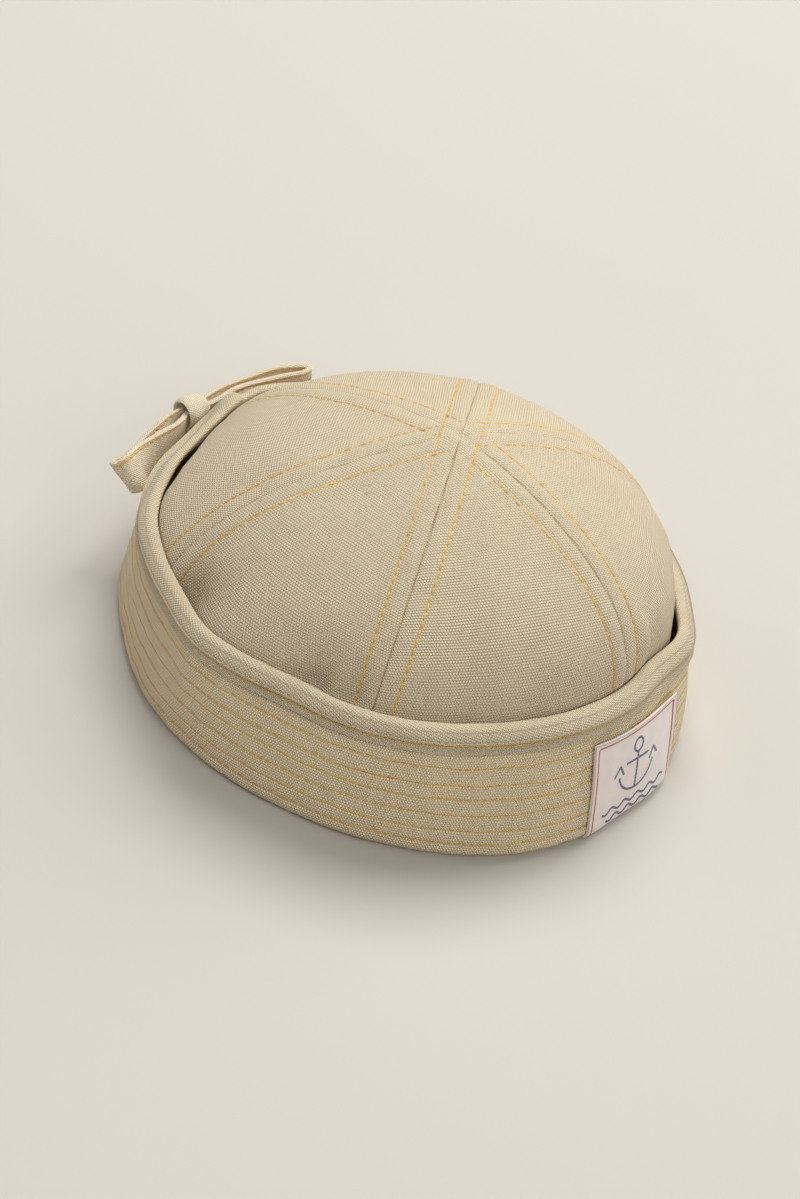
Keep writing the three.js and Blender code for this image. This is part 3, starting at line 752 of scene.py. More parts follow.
class NodeBench:
    """Short calls for a material's nodes."""

    def __init__(self, name):
        self.material = bpy.data.materials.new(name)
        self.material.use_nodes = True
        self.tree = self.material.node_tree
        self.shader = self.tree.nodes["Principled BSDF"]

    def add(self, kind, **settings):
        node = self.tree.nodes.new(kind)
        for key, value in settings.items():
            setattr(node, key, value)
        return node

    def feed(self, socket, value):
        if isinstance(value, bpy.types.NodeSocket):
            self.tree.links.new(value, socket)
        else:
            socket.default_value = value

    def math(self, operation, a, b=0.0, c=0.0):
        node = self.add("ShaderNodeMath", operation=operation)
        for socket, value in zip(node.inputs, (a, b, c)):
            self.feed(socket, value)
        return node.outputs[0]

    def noise(self, vector, scale, detail=2.0):
        node = self.add("ShaderNodeTexNoise")
        self.feed(node.inputs["Vector"], vector)
        node.inputs["Scale"].default_value = scale
        node.inputs["Detail"].default_value = detail
        return node.outputs["Fac"]

    def mix(self, factor, a, b, blend="MIX"):
        node = self.add("ShaderNodeMix", data_type="RGBA", blend_type=blend)
        self.feed(node.inputs["Factor"], factor)
        self.feed(node.inputs["A"], a)
        self.feed(node.inputs["B"], b)
        return node.outputs["Result"]

    def scaled(self, value, factor, offset=0.0):
        return self.math("MULTIPLY_ADD", value, factor, offset)

    def swung(self, value, middle, factor, offset):
        return self.scaled(self.math("SUBTRACT", value, middle), factor, offset)

    def cloth(self):
        return self.add("ShaderNodeUVMap", uv_map="cloth").outputs[0]

    def split(self, vector):
        node = self.add("ShaderNodeSeparateXYZ")
        self.feed(node.inputs[0], vector)
        return node.outputs

    def tinted(self, channels, colour):
        node = self.add("ShaderNodeCombineColor")
        for socket, channel in zip(node.inputs, channels):
            self.feed(socket, channel)
        return self.mix(1.0, node.outputs[0], colour4(colour), "MULTIPLY")

    def surface(self, colour, **inputs):
        self.feed(self.shader.inputs["Base Color"], colour)
        for key, value in inputs.items():
            self.shader.inputs[key.replace("_", " ")].default_value = value

    def mapped(self, vector, scale, turn=0.0):
        node = self.add("ShaderNodeMapping")
        self.feed(node.inputs["Vector"], vector)
        node.inputs["Scale"].default_value = scale
        node.inputs["Rotation"].default_value = (0, 0, turn)
        return node.outputs[0]

    def bump(self, height, strength, distance):
        node = self.add("ShaderNodeBump")
        self.feed(node.inputs["Height"], height)
        node.inputs["Strength"].default_value = strength
        node.inputs["Distance"].default_value = distance
        self.feed(self.shader.inputs["Normal"], node.outputs[0])


def colour4(colour):
    return (colour[0], colour[1], colour[2], 1.0)


def canvas_cloth(name, colour, pitch, turn, contrast):
    """Plain-woven canvas: bumps of thread in staggered rows, with uneven threads and soft mottling. Painted
    shade darkens the gaps between the bumps and is browner where it is deeper; painted highlight lightens
    the bumps' tops.
    """
    bench = NodeBench(name)
    cloth = bench.mapped(bench.cloth(), MM_PER_METRE, turn)
    wobble = bench.math("SUBTRACT", bench.noise(cloth, 0.06, 1.0), 0.5)
    place = bench.split(cloth)
    u = bench.scaled(wobble, 0.9, place[0])
    v = bench.scaled(wobble, -0.9, place[1])
    half_turn = pi / (pitch / MM)
    rows = bench.math("COSINE", bench.scaled(v, 2 * half_turn))
    columns = bench.math("COSINE", bench.scaled(u, 2 * half_turn))
    staggered = bench.math("MULTIPLY", columns, bench.math("COSINE", bench.scaled(v, half_turn)))
    height = bench.scaled(staggered, 0.36, 0.5)
    height = bench.scaled(rows, 0.20, height)
    height = bench.swung(height, 0.5, 1.35, 0.5)
    # gap grows towards the hollows between the thread bumps, where the painted shade goes
    gap = bench.math("POWER", bench.math("MAXIMUM", bench.math("SUBTRACT", 1.0, height), 0.0), 1.4)
    along = bench.noise(bench.mapped(cloth, (0.12, 1.1, 1)), 1.0)
    across = bench.noise(bench.mapped(cloth, (1.1, 0.12, 1)), 1.0)
    # Painted shade in the gaps and painted highlight on the bumps' tops; the thread and mottle noise below
    # is the cloth's own tone
    shade = bench.scaled(gap, -0.62 * contrast, 0.925 + 0.25 * contrast)
    shade = bench.swung(bench.math("ADD", along, across), 1.0, 0.16, shade)
    shade = bench.swung(bench.noise(cloth, 0.035, 3.0), 0.5, 0.14, shade)
    shade = bench.math("MINIMUM", shade, 1.12)
    # Painted shade turns browner as it deepens: green and blue fall faster than red
    channels = [bench.math("POWER", shade, deepening) for deepening in (1.0, 1.12, 1.3)]
    bench.surface(bench.tinted(channels, colour), Roughness=0.93, Specular_IOR_Level=0.18,
                  Sheen_Weight=0.12, Sheen_Roughness=0.6)
    bench.bump(height, 1.0, 0.38 * MM)
    return bench.material


def spun_thread(name, gold, orange):
    """Dyed sewing thread: golden and orange by turns, with painted shade darkening it where it dives into
    the cloth.
    """
    bench = NodeBench(name)
    place = bench.add("ShaderNodeTexCoord").outputs["Object"]
    tone = bench.add("ShaderNodeAttribute", attribute_name="tone").outputs["Fac"]
    end = bench.add("ShaderNodeAttribute", attribute_name="end").outputs["Fac"]
    choice = bench.swung(bench.noise(place, 38.0), 0.5, 4.0, bench.math("MULTIPLY", tone, 0.7))
    choice = bench.math("MAXIMUM", bench.math("MINIMUM", choice, 1.0), 0.0)
    dyed = bench.mix(choice, colour4(gold), colour4(orange))
    # Painted shade where the thread dives into the cloth: each stitch's ends darken to a deep orange
    hole_shade = [c * 0.32 for c in orange]
    end_shaded = bench.mix(bench.math("POWER", end, 12.0), dyed, colour4(hole_shade))
    bench.surface(end_shaded, Roughness=0.6, Sheen_Weight=0.2)
    bench.bump(bench.noise(place, 5000.0, 1.0), 0.3, 0.05 * MM)
    return bench.material


def woven_ground(name, colour):
    """The patch's fine satin ground, with faint blotches."""
    bench = NodeBench(name)
    cloth = bench.mapped(bench.cloth(), MM_PER_METRE)
    ribs = bench.math("SINE", bench.scaled(bench.split(cloth)[1], 2 * pi / 0.36))
    shade = bench.scaled(ribs, 0.035, 0.94)
    shade = bench.swung(bench.noise(cloth, 0.12, 3.0), 0.5, 0.18, shade)
    bench.surface(bench.tinted([shade] * 3, colour), Roughness=0.6, Sheen_Weight=0.25)
    bench.bump(ribs, 0.3, 0.06 * MM)
    return bench.material


def woven_line(name, light, dark, pitch):
    """A line woven into the patch, with slanting bands of two tones."""
    bench = NodeBench(name)
    place = bench.split(bench.cloth())
    bands = bench.math("SINE", bench.scaled(bench.scaled(place[0], 1.1, place[1]), 2 * pi / pitch))
    colour = bench.mix(bench.scaled(bands, 0.5, 0.5), colour4(light), colour4(dark))
    bench.surface(colour, Roughness=0.65, Sheen_Weight=0.2)
    bench.bump(bands, 0.5, 0.08 * MM)
    return bench.material


def paper_floor(name, colour):
    """A pale seamless floor with the faintest mottling."""
    bench = NodeBench(name)
    cloud = bench.noise(bench.add("ShaderNodeTexCoord").outputs["Object"], 2.0)
    lighter = [min(c * 1.02, 1.0) for c in colour]
    darker = [c * 0.98 for c in colour]
    mottled = bench.mix(cloud, colour4(darker), colour4(lighter))
    bench.surface(mottled, Roughness=0.9, Specular_IOR_Level=0.1)
    return bench.material


def sewing_thread(scene):
    """The thread of all the topstitching."""
    colours = scene.cap_colours
    return spun_thread("gold_thread", colours.gold, colours.orange)


def cap_canvas(scene, name, colour, finer=1.0, turn=0.0, contrast=CANVAS_CONTRAST):
    """A canvas of that name and colour setting, made once."""
    pitch = scene.cap_sizes.weave_pitch * finer
    made = bpy.data.materials.get(name)
    return made or canvas_cloth(name, getattr(scene.cap_colours, colour), pitch, turn, contrast)


def length_setting(name, description, millimetres):
    return bpy.props.FloatProperty(
        name=name, description=description, default=millimetres * MM, unit="LENGTH", precision=5)


def colour_setting(name, description, colour):
    return bpy.props.FloatVectorProperty(
        name=name, description=description, default=colour, subtype="COLOR", min=0, max=1)


class CapSizes(bpy.types.PropertyGroup):
    canvas_wall: length_setting("Canvas wall", "Thickness of the crown's canvas", 1.3)
    weave_pitch: length_setting("Weave pitch", "Distance between the canvas's rows of thread bumps", 0.94)
    seam_stitch_offset: length_setting(
        "Topstitch offset", "Distance from a crown seam to the stitches beside it", 6.35)
    stitch_length: length_setting("Stitch length", "Visible length of one stitch", 2.7)
    stitch_gap: length_setting("Stitch gap", "Space between one stitch and the next", 0.14)
    thread_width: length_setting("Thread width", "Width of the topstitching thread", 0.62)
    strap_wall: length_setting("Strap wall", "Thickness of the bow's folded strap", 2.0)


class CapColours(bpy.types.PropertyGroup):
    canvas: colour_setting("Canvas", "Colour of the crown's canvas", (0.83, 0.70, 0.49))
    # The cuff's canvas is yellower than the crown's by its own tint, and lighter as painted light on its
    # upright walls
    cuff: colour_setting("Cuff", "Colour of the cuff's canvas", (1.0, 0.84, 0.565))
    # The binding and the bow are one strap cloth: the binding's colour is darker as painted shade, and the
    # bow's lighter as painted light
    binding: colour_setting("Binding", "Colour of the rim's binding", (0.78, 0.66, 0.455))
    bow: colour_setting("Bow", "Colour of the bow's strap", (1.0, 0.87, 0.64))
    gold: colour_setting("Gold thread", "Lighter colour of the topstitching", (0.78, 0.46, 0.04))
    orange: colour_setting("Orange thread", "Deeper colour of the topstitching", (0.68, 0.31, 0.025))
    label_ground: colour_setting("Label ground", "Colour of the patch's ground", (0.96, 0.86, 0.80))
    label_red: colour_setting("Label red", "Colour of the patch's border line", (0.62, 0.06, 0.08))
    label_blue: colour_setting("Label blue", "Colour of the patch's motif", (0.045, 0.06, 0.105))
    floor: colour_setting("Floor", "Colour of the floor", (0.584, 0.55, 0.493))


def panel_columns(width):
    """Shares across a panel, close together beside its seams."""
    near = np.array(PANEL_DISTANCES) * MM / width
    near = near[near < 0.46]
    return np.concatenate((near, [0.5], 1 - near[::-1]))


def gore_cloth(turn, lengths, dome_length):
    """Places on a gore's flat cloth, whose threads run straight along and across its middle."""
    radius = dome_length / (pi / 2)
    base_radius = sum(CROWN_BASE_OVAL) / 2
    polar = np.minimum(lengths / radius, pi / 2)
    a = np.radians(turn)
    spread = radius + (base_radius - radius) * np.sin(polar) ** 2
    across = spread * np.arcsin(np.clip(np.sin(polar) * np.sin(a), -1, 1))
    along = radius * np.arctan2(np.sin(polar) * np.cos(a), np.cos(polar))
    return across, along + np.maximum(lengths - dome_length, 0)


def crown_panel(panel, sizes):
    """One gore: a sheet from its hem up to the apex, thickened inwards."""
    sweep = panel_sweep(panel)
    start = SEAMS[panel].azimuth
    middle = start + sweep / 2
    base_width = radians(sweep) * sum(CROWN_BASE_OVAL) / 2
    across = panel_columns(base_width)
    dome = np.linspace(0, 1, 86) ** 0.9
    down = np.concatenate((np.linspace(2, 1, 13)[:-1], dome[::-1]))
    azimuth = start + sweep * across
    grid_azimuth, grid_down = np.meshgrid(azimuth, down)
    points = crown_face(grid_azimuth, grid_down, sizes)
    points[-1] = points[-1].mean(axis=0)
    meridian = crown_point(np.full(len(down), middle), down)
    lengths = arc_lengths(meridian[::-1])[::-1]
    dome_length = lengths[np.argmin(np.abs(down - 1))]
    sideways, along = gore_cloth(grid_azimuth - middle, lengths[:, None], dome_length)
    cloth = np.stack((sideways + panel * 0.31, -along), axis=-1)
    piece = sewn_grid(f"canvas_panel_{panel + 1}", points, cloth)
    thicken(piece, sizes.canvas_wall)
    return piece


class CAP_OT_crown(bpy.types.Operator):
    """Sews the crown's six canvas panels"""
    bl_idname = "sailor_cap.crown"
    bl_label = "Crown panels"

    def execute(self, context):
        for panel in range(len(SEAMS)):
            piece = crown_panel(panel, context.scene.cap_sizes)
            material = cap_canvas(context.scene, "crown_canvas", "canvas")
            finish_piece(piece, material, [f"crown_panel_{panel + 1}"])
        return {"FINISHED"}


def cuff_ring(azimuth, canvas_wall):
    """The cuff's closed section at azimuths: outer wall, fold, hem and inner wall."""
    top = rim_height(azimuth)
    fold_drop = top - FOLD_RADIUS
    inner_radius = FOLD_RADIUS - CUFF_WALL
    wall_top = SLOT_DROP + GAP
    ring = []
    for share in np.linspace(0, 1, 72):
        drop = wall_top + share * (fold_drop - wall_top)
        ring.append(wall_face(azimuth, drop))
    for angle in np.linspace(0, 90, 11)[1:]:
        fade = cos(radians(angle)) ** 2
        relief = cuff_relief(azimuth, fold_drop) * fade
        ring.append(fold_point(azimuth, angle, FOLD_RADIUS + relief))

    def hem_face(z, out):
        return oval_point(skirt_oval(z), azimuth, -canvas_wall - HEM_CLEARANCE - out, z)

    flat_end = swell(FOLD_SWELLS, azimuth) - FOLD_RADIUS - FOLD_FLAT
    ring.append(oval_point(CUFF_OVAL, azimuth, flat_end, 0))
    low = hem_face(CUFF_WALL, HEM_WALL / 2)
    low[..., 2] = CUFF_WALL / 4
    ring.append(low)
    ring.append(hem_face(CUFF_WALL, HEM_WALL))
    for z in np.linspace(CUFF_WALL, HEM_HEIGHT, 6)[1:]:
        ring.append(hem_face(z, HEM_WALL))
    crest = hem_face(HEM_HEIGHT, HEM_WALL / 2)
    crest[..., 2] += HEM_WALL / 2
    ring.append(crest)
    ring.append(hem_face(HEM_HEIGHT, 0))
    foot = hem_face(inner_radius, 0)
    foot[..., 2] = CUFF_WALL
    ring.append(foot)
    ring.append(fold_point(azimuth, 90, inner_radius))
    ring.append(fold_point(azimuth, 50, inner_radius))
    ring.append(fold_point(azimuth, 0, inner_radius))
    for share in np.linspace(1, 0, 14)[1:]:
        ring.append(wall_point(azimuth, wall_top + share * (fold_drop - wall_top), -CUFF_WALL))
    return np.stack(ring)


class CAP_OT_cuff(bpy.types.Operator):
    """Sews the turned-up cuff with its quilted rows, its fold and its hem"""
    bl_idname = "sailor_cap.cuff"
    bl_label = "Cuff"

    def execute(self, context):
        azimuth = np.linspace(-180, 180, 481)
        ring = cuff_ring(azimuth, context.scene.cap_sizes.canvas_wall)
        ring = np.concatenate((ring, ring[:1]))
        ring[:, -1] = ring[:, 0]
        round_way = arc_lengths(wall_point(azimuth, 25 * MM, 0))
        down_way = arc_lengths(ring[:, 0])
        piece = sewn_grid("quilted_cuff", ring, laid_out(round_way, -down_way), close=True)
        finish_piece(piece, cap_canvas(context.scene, "cuff_canvas", "cuff"), ["cuff"])
        return {"FINISHED"}


def binding_outline():
    """The binding's closed section as drops below the rim's top and distances out from the wall."""
    middle = ROLL_WIDTH / 2 - WALL_IN_ROLL
    slot_out = GAP
    slot_in = -CUFF_WALL - GAP
    rows = [(slot_out + FLAP_WALL * share, FLAP_DROP + below * MM) for share, below in FLAP_OUTER]
    for side in (FLAP_SEAT_HALF, -FLAP_SEAT_HALF):
        rows.append((slot_out + FLAP_WALL * FLAP_SEAT, BINDING_STITCH_DROP + side))
    for angle in range(-32, 213, 8):
        c = cos(radians(angle))
        s = sin(radians(angle))
        squareness = ROLL_SQUARENESS[1] if angle < 200 else 2
        if 0 < angle <= 90:
            squareness = ROLL_SQUARENESS[0]
        out = middle + ROLL_WIDTH / 2 * np.sign(c) * abs(c) ** (2 / squareness)
        rise = (ROLL_DROP + ROLL_RISE) * np.sign(s) * abs(s) ** (2 / squareness)
        rows.append((out, ROLL_DROP - rise))
    rows.append((slot_in - FLAP_WALL * 0.7, BINDING_STITCH_DROP))
    rows += [(slot_in - FLAP_WALL * share, FLAP_DROP + below * MM) for share, below in FLAP_INNER]
    return np.array(rows + [(slot_in, SLOT_DROP), (slot_out, SLOT_DROP)])


def binding_ring(azimuth):
    """The binding's sections along azimuths, its rounded start laid over its end."""
    overlap = np.clip((BINDING_START + LAP_SWEEP - azimuth) / LAP_EASE, 0, 1)
    over = overlap * overlap * (3 - 2 * overlap)
    under = np.clip((azimuth - BINDING_END + UNDERLAP_SWEEP) / UNDERLAP_EASE, 0, 1)
    nose = np.clip((azimuth - BINDING_START) / ROLL_NOSE, 0, 1)
    full = np.sqrt(np.maximum(1 - (1 - nose) ** 2, 0)) * 0.3 + 0.7
    press = swell(ROLL_PRESSES, azimuth)
    lean = swell(ROLL_LEANS, azimuth)
    middle = ROLL_WIDTH / 2 - WALL_IN_ROLL
    ring = []
    for out, drop in binding_outline():
        place = wall_point(azimuth, drop, out)
        lumps = waves(ROLL_WAVES, place)
        in_roll = 1.0 if drop < ROLL_DROP + 0.4 * MM else 0.0
        outer = 1.0 if out > 1.5 * GAP or drop < ROLL_DROP else 0.3
        flatter = ROLL_OUTER_SHARE if out > middle and in_roll > 0 else 1
        narrowing = 1 - press * (1.6 if out > middle else 0.4)
        away = (out - middle) * flatter * (1 - 0.12 * under * in_roll)
        away = away * np.where(in_roll > 0, full * narrowing, 1)
        sideways = middle + away + lumps * outer + over * ROLL_LAP[0] * (out > 0) + lean * in_roll
        upward = (over * ROLL_LAP[1] - under * 0.5 * MM) * in_roll
        depth = ROLL_DROP + (drop - ROLL_DROP) * np.where(in_roll > 0, full * (1 - 0.6 * press), 1)
        depth = depth + ROLL_TILT * (out - middle) / (ROLL_WIDTH / 2) * in_roll
        ring.append(wall_point(azimuth, depth - upward, sideways))
    return np.stack(ring)


class CAP_OT_binding(bpy.types.Operator):
    """Sews the bias binding rolled over the cuff's rim, its ends lapped at the back"""
    bl_idname = "sailor_cap.binding"
    bl_label = "Rim binding"

    def execute(self, context):
        start = BINDING_START + ROLL_NOSE * np.linspace(0, 1, 9)[:-1] ** 2
        azimuth = np.concatenate((start, np.linspace(BINDING_START + ROLL_NOSE, BINDING_END, 560)))
        ring = binding_ring(azimuth)
        ring = np.concatenate((ring, ring[:1]))
        round_way = arc_lengths(wall_point(azimuth, ROLL_DROP, 0))
        section = arc_lengths(ring[:, 0])
        piece = sewn_grid("rolled_binding", ring, laid_out(round_way, -section), close=True)
        material = cap_canvas(context.scene, "bias_binding", "binding", *BIAS_WEAVE)
        finish_piece(piece, material, ["rim_binding"])
        return {"FINISHED"}


def label_place(across, run, under, out):
    """A point of the patch: shares across and down its face, then round the fold."""
    azimuth_top = LABEL_TOP[0] + (LABEL_TOP[1] - LABEL_TOP[0]) * across
    azimuth_foot = LABEL_FOOT[0] + (LABEL_FOOT[1] - LABEL_FOOT[0]) * across
    azimuth = azimuth_top + (azimuth_foot - azimuth_top) * run
    top_drop = LABEL_DROP[0] + (LABEL_DROP[1] - LABEL_DROP[0]) * across
    drop = top_drop + (rim_height(azimuth) - FOLD_RADIUS - top_drop) * run
    on_wall = wall_point(azimuth, drop, out)
    on_fold = fold_point(azimuth, under * LABEL_UNDER_ANGLE, FOLD_RADIUS + out)
    return np.where((under > 0)[..., None], on_fold, on_wall)


def label_surface(x, y, out):
    """A point of the patch at so far from its left edge and so far below its top edge."""
    across = x / LABEL_WIDTH
    run = np.clip(y / LABEL_FACE, 0, 1)
    under = np.clip((y - LABEL_FACE) / LABEL_UNDER, 0, 1)
    ripple = LABEL_RIPPLE * np.sin(across * 9 + y / MM * 0.16) * np.sin(pi * np.clip(across, 0, 1))
    curl = np.exp(-((x / LABEL_CURL) ** 2)) + np.exp(-(((LABEL_WIDTH - x) / LABEL_CURL) ** 2))
    curl = curl * (1 - run**2) + np.exp(-((y / LABEL_CURL) ** 2))
    return label_place(across, run, under, GAP + out + ripple + np.minimum(curl, 1) * LABEL_LIFT)


class CAP_OT_label(bpy.types.Operator):
    """Makes the woven patch with a red border line and a plain anchor over waves"""
    bl_idname = "sailor_cap.label"
    bl_label = "Woven patch"

    def execute(self, context):
        colours = context.scene.cap_colours
        x = np.linspace(0, LABEL_WIDTH, 61)
        y = np.linspace(LABEL_FACE + LABEL_UNDER, 0, 46)
        grid_x, grid_y = np.meshgrid(x, y)
        points = label_surface(grid_x, grid_y, LABEL_WALL)
        cloth = np.stack((grid_x, -grid_y), axis=-1)
        piece = sewn_grid("woven_patch", points, cloth)
        thicken(piece, LABEL_WALL)
        finish_piece(piece, woven_ground("patch_ground", colours.label_ground), ["label"])
        deep_red = [c * 0.8 for c in colours.label_red]
        pale_blue = [c * 2.4 + 0.08 for c in colours.label_blue]
        # A near-black tone of the ground for the edge line: partly the patch's dark woven edge, partly
        # painted shadow along its lifted edges
        shade = [c * 0.12 for c in colours.label_ground]
        red = woven_line("patch_red", colours.label_red, deep_red, 0.5 * MM)
        blue = woven_line("patch_blue", pale_blue, colours.label_blue, 1.5 * MM)
        edge_shadow_cloth = woven_line("patch_grey", colours.label_ground, shade, 0.4 * MM)
        for name, (inset, width, height), material in (
                ("patch_border", BORDER_LINE, red), ("patch_edging", EDGE_SHADOW_LINE, edge_shadow_cloth)):
            finish_piece(ribbons(name, border_lines(inset), width, height), material)
        finish_piece(ribbons("patch_motif", motif_lines(), *MOTIF_LINE), blue)
        return {"FINISHED"}


def border_lines(inset):
    """Lines so far inside the patch's edges: left, top and right."""
    foot = LABEL_FACE + LABEL_UNDER - 0.4 * MM
    left = [(inset, foot), (inset, 24 * MM), (inset, 14 * MM), (inset, inset)]
    top = [(inset, inset), (16 * MM, inset), (30 * MM, inset), (LABEL_WIDTH - inset, inset)]
    right = [(LABEL_WIDTH - inset, inset), (LABEL_WIDTH - inset, 14 * MM), (LABEL_WIDTH - inset, foot)]
    return [straight_run(rows) for rows in (left, top, right)]


def straight_run(rows):
    """Points along straight stretches between the given ones."""
    made = []
    for (x0, y0), (x1, y1) in zip(rows, rows[1:]):
        made += [(x0 + (x1 - x0) * t, y0 + (y1 - y0) * t) for t in np.linspace(0, 1, 14)[:-1]]
    return np.array(made + [rows[-1]])


def motif_lines():
    """A plain anchor above two wavy lines, as lines on the patch."""
    middle = 23.0
    ring = [(middle + 2.4 * cos(a), 7.6 + 2.4 * sin(a)) for a in np.linspace(pi / 2, pi / 2 + 2 * pi, 25)]
    shank = [(middle, 10), (middle, 14), (middle, 19), (middle, 23.4)]
    stock = [(middle - 6, 12.6), (middle - 2, 12.6), (middle + 2, 12.6), (middle + 6, 12.6)]
    arms = [(middle + 9.4 * sin(a), 14.6 + 8.8 * cos(a)) for a in np.linspace(-1.35, 1.35, 21)]
    fluke_left = [(middle - 12.0, 15.6), (middle - 9.3, 12.2), (middle - 7.0, 15.9)]
    fluke_right = [(middle + 7.0, 15.9), (middle + 9.3, 12.2), (middle + 12.0, 15.6)]
    lines = [ring, smooth_line(shank), smooth_line(stock), arms]
    lines += [straight_run(fluke_left), straight_run(fluke_right)]
    for y, start, end in ((27.3, 6.5, 41.5), (30.4, 9.0, 39.0)):
        lines.append([(x, y + 0.8 * sin((x - start) * 0.9)) for x in np.linspace(start, end, 60)])
    return [np.array(line) * MM for line in lines]


def smooth_line(rows):
    return smooth_path([(x, y, 0) for x, y in rows], 24)[:, :2]


def ribbons(name, lines, width, height):
    """Thin raised lines on the patch, one closed mesh."""
    made = []
    for line in lines:
        ahead = unit(np.gradient(line, axis=0))
        beside = np.stack((-ahead[:, 1], ahead[:, 0]), axis=1)
        rows = []
        for side, lift in RIBBON_SECTION:
            flat = line + beside * side * width
            raised = np.full(len(line), LABEL_WALL + lift * height)
            rows.append(label_surface(flat[:, 0], flat[:, 1], raised))
        points = np.stack(rows)
        across = np.array([side * width for side, _ in RIBBON_SECTION])
        made.append(sewn_grid(f"{name}_line", points, laid_out(arc_lengths(line), across), close=True))
    select_only(*made)
    bpy.ops.object.join()
    made[0].name = name
    made[0].data.name = name
    return made[0]


def strap_frames(stations, steps, hanging):
    """Centres, half-width vectors and faces along a strap."""
    stations = [Station(*row) for row in stations]
    centres = smooth_path([(s.x, s.y, s.z) for s in stations], steps) * MM
    if hanging:
        hints = [(cos(radians(s.turn)), sin(radians(s.turn)), 0) for s in stations]
    else:
        hints = [(0, sin(radians(s.turn)), cos(radians(s.turn))) for s in stations]
    halves = smooth_path(np.array(hints) * np.array([[s.width / 2] for s in stations]), steps) * MM
    skews = smooth_path([(-s.skew, 0, 0) for s in stations], steps) * MM
    along = unit(np.gradient(centres, axis=0))
    widths = np.linalg.norm(halves, axis=1, keepdims=True)
    across = unit(halves - along * np.sum(halves * along, axis=1, keepdims=True))
    return centres, across * widths + skews, unit(np.cross(across, along))


def strap_outline():
    """The folded strap's section: share of the half width, share of the half thickness."""
    flat = np.array((-0.86, -0.5, -0.1, 0.3, 0.56, 0.66, STRAP_STITCH_SHARE, 0.82, 0.9))
    groove = 0.30 * np.exp(-(((flat - STRAP_STITCH_SHARE) / 0.08) ** 2))
    thick = 0.96 + 0.12 * np.cos(flat * pi / 2) - groove
    top = list(zip(flat, thick))
    right = [(0.96, 0.62), (1.0, 0.22), (1.0, -0.22), (0.96, -0.62)]
    bottom = list(zip(flat[::-1], -thick[::-1]))
    left = [(-0.95, -0.72), (-1.0, -0.25), (-1.0, 0.25), (-0.95, 0.72)]
    return np.array(top + right + bottom + left)


def strap(name, stations, steps, hanging, wall):
    """A strap swept through its stations."""
    centres, across, face = strap_frames(stations, steps, hanging)
    outline = strap_outline()
    outline = np.concatenate((outline, outline[:1]))
    lumps = waves(STRAP_WAVES, centres)[:, None]
    points = np.stack([
        centres + across * side + face * (depth * wall / 2 + lumps * side) for side, depth in outline
    ])
    section = arc_lengths(points[:, len(centres) // 2])
    return sewn_grid(name, points, laid_out(arc_lengths(centres), section), close=True)


def knot_wrap():
    """The strap wound round the bow's middle: a band with rolled rims and hollow ends."""
    around = np.linspace(0, 2 * pi, 65)
    outward = -np.cos(around)
    upward = np.sin(around)
    rows = []
    for place, share in KNOT_SECTIONS:
        crease = np.exp(-(((place - 0.6 - 1.6 * upward) / 0.7) ** 2)) * 0.05 * (share > 0.8)
        lump = 0.025 * np.cos(around * 3 + place * 0.9) * (share > 0.8)
        size = share - crease + lump
        x = place * MM + KNOT_SLANT * outward * np.clip(-place / 3.9, 0, 1) * (share > 0)
        y = KNOT_OUTWARD * size * outward
        z = KNOT_UPWARD * size * upward
        rows.append(np.stack((x, y, z), axis=1) + KNOT_CENTRE)
    points = np.stack(rows)
    section = arc_lengths(points[:, len(around) // 4])
    cloth = np.stack(np.meshgrid(around * 5.5 * MM, section), axis=-1)
    return sewn_grid("bow_knot", points, cloth, close=True)


class CAP_OT_bow(bpy.types.Operator):
    """Ties the bow at the back: its knot, two loops and two short ends"""
    bl_idname = "sailor_cap.bow"
    bl_label = "Bow"

    def execute(self, context):
        wall = context.scene.cap_sizes.strap_wall
        material = cap_canvas(context.scene, "bow_canvas", "bow", *BIAS_WEAVE)
        finish_piece(knot_wrap(), material, ["tie_knot"])
        for name, stations, steps, hanging, solid in STRAPS:
            finish_piece(strap(name, stations, steps, hanging, wall), material, [solid])
        return {"FINISHED"}


def strap_stitch_lines(stations, steps, hanging, wall):
    """Lines of stitches along a strap's sewn edge, on both of its faces."""
    centres, across, face = strap_frames(stations, steps, hanging)
    inner = slice(4, len(centres) - 3)
    lines = []
    for way in (1, -1):
        line = centres + across * STRAP_STITCH_SHARE + face * way * wall * 0.38
        lines.append((line[inner], (face * way)[inner]))
    return lines


class CAP_OT_topstitching(bpy.types.Operator):
    """Sews the gold stitches of the crown, cuff, binding and bow"""
    bl_idname = "sailor_cap.topstitching"
    bl_label = "Topstitching"

    def execute(self, context):
        sizes = context.scene.cap_sizes
        thread = sewing_thread(context.scene)
        crown = [crown_line(row.seam, row.side, row.clear, sizes) for row in TOPSTITCHES]
        crown += [crown_line(seam, side, 0, sizes) for seam in HALVES_SEAM for side in (-1, 1)]
        stitch_piece("crown_topstitching", crown, sizes, thread, CROWN_THREAD)
        azimuth = np.linspace(-180, 180, 1441)
        cuff = [wall_line(azimuth, drop, 0.0) for drop in row_drops(azimuth)]
        stitch_piece("cuff_topstitching", cuff, sizes, thread, CUFF_THREAD)
        azimuth = np.linspace(BINDING_START, BINDING_END, 1441)
        lift = GAP + FLAP_WALL * FLAP_SEAT - cuff_relief(azimuth, BINDING_STITCH_DROP)
        binding = [wall_line(azimuth, np.full(len(azimuth), BINDING_STITCH_DROP), lift)]
        stitch_piece("binding_topstitching", binding, sizes, thread, BINDING_THREAD)
        bow = []
        for _, stations, steps, hanging, _ in STRAPS:
            bow += strap_stitch_lines(stations, steps, hanging, sizes.strap_wall)
        stitch_piece("bow_topstitching", bow, sizes, thread, BOW_THREAD)
        return {"FINISHED"}


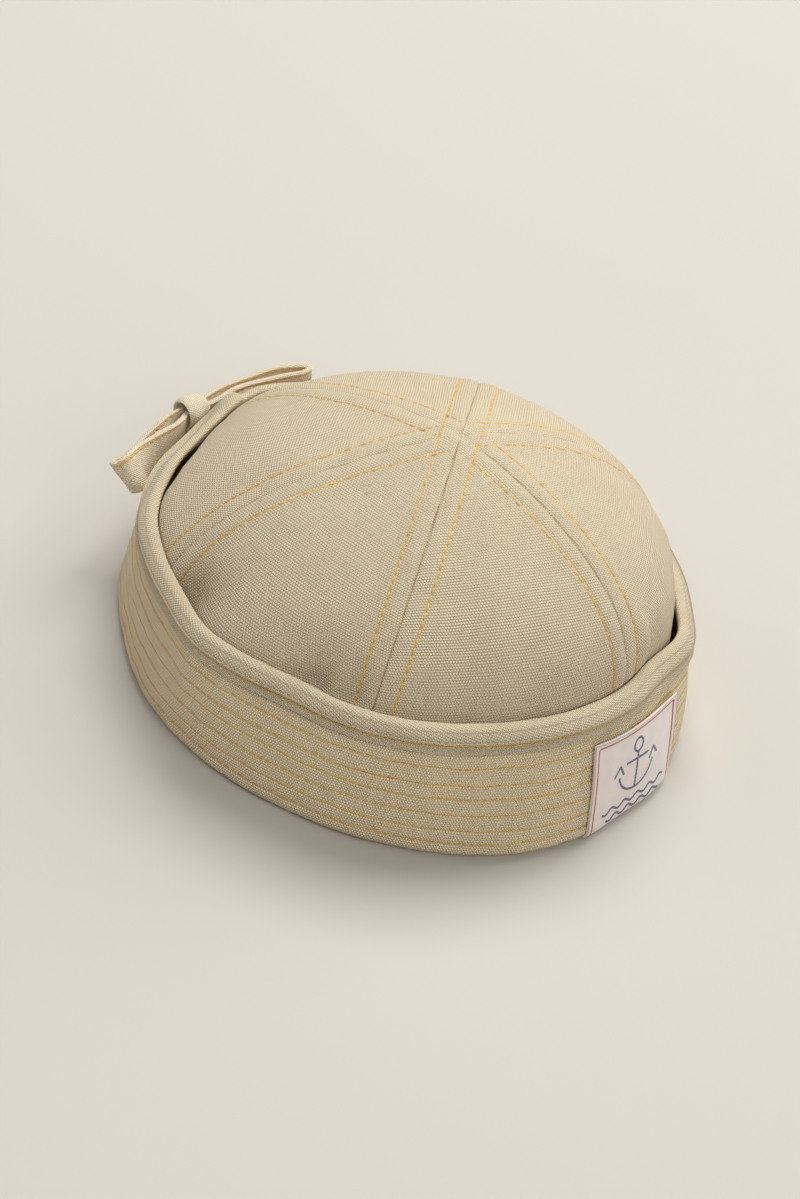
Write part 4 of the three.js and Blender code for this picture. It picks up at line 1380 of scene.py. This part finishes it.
def soft_light(name, place, size, energy):
    """A square softbox at a place, facing the cap."""
    data = bpy.data.lights.new(name, "AREA")
    data.shape = "SQUARE"
    data.size = size
    data.energy = energy
    lamp = bpy.data.objects.new(name, data)
    lamp.location = place
    towards = Vector((0, 0, CROWN_BASE_HEIGHT)) - Vector(place)
    lamp.rotation_euler = towards.to_track_quat("-Z", "Y").to_euler()
    bpy.context.scene.collection.objects.link(lamp)


class CAP_OT_stage(bpy.types.Operator):
    """Sets up the pale floor, the soft studio light and the camera"""
    bl_idname = "sailor_cap.stage"
    bl_label = "Stage"

    def execute(self, context):
        scene = context.scene
        deselect_all()
        bpy.ops.mesh.primitive_plane_add(size=FLOOR_SIZE, location=(0, 0, 0))
        floor = context.active_object
        floor.name = "pale_floor"
        floor.data.materials.append(paper_floor("pale_paper", scene.cap_colours.floor))
        world = bpy.data.worlds.new("studio")
        world.use_nodes = True
        world.node_tree.nodes["Background"].inputs["Strength"].default_value = WORLD_STRENGTH
        scene.world = world
        for row in SOFTBOXES:
            soft_light(*row)
        camera_data = bpy.data.cameras.new("camera")
        camera_data.sensor_width = CAMERA_SENSOR
        camera_data.lens = CAMERA_LENS
        camera_data.clip_start = 0.05
        camera = bpy.data.objects.new("camera", camera_data)
        turn = Matrix(CAMERA_AXES).transposed().to_4x4()
        camera.matrix_world = Matrix.Translation(Vector(CAMERA_PLACE + CENTRE)) @ turn
        scene.collection.objects.link(camera)
        scene.camera = camera
        scene.view_settings.view_transform = "Standard"
        return {"FINISHED"}


class CAP_PT_sidebar(bpy.types.Panel):
    """Lists the cap's steps, sizes and colours"""
    bl_label = "Sailor Cap"
    bl_idname = "CAP_PT_sidebar"
    bl_space_type = "VIEW_3D"
    bl_region_type = "UI"
    bl_category = "Sailor Cap"

    def draw(self, context):
        for step in STEPS:
            self.layout.operator(step.bl_idname)
        for group in (context.scene.cap_sizes, context.scene.cap_colours):
            box = self.layout.box()
            for key in group.__annotations__:
                box.prop(group, key)


STEPS = (
    CAP_OT_crown, CAP_OT_cuff, CAP_OT_binding, CAP_OT_label, CAP_OT_bow, CAP_OT_topstitching, CAP_OT_stage,
)
CLASSES = (CapSizes, CapColours, *STEPS, CAP_PT_sidebar)


def register():
    for cls in CLASSES:
        bpy.utils.register_class(cls)
    bpy.types.Scene.cap_sizes = bpy.props.PointerProperty(type=CapSizes)
    bpy.types.Scene.cap_colours = bpy.props.PointerProperty(type=CapColours)


def unregister():
    del bpy.types.Scene.cap_colours
    del bpy.types.Scene.cap_sizes
    for cls in reversed(CLASSES):
        bpy.utils.unregister_class(cls)


def main():
    register()
    bpy.ops.sailor_cap.crown()
    bpy.ops.sailor_cap.cuff()
    bpy.ops.sailor_cap.binding()
    bpy.ops.sailor_cap.label()
    bpy.ops.sailor_cap.bow()
    bpy.ops.sailor_cap.topstitching()
    bpy.ops.sailor_cap.stage()


if __name__ == "__main__":
    main()
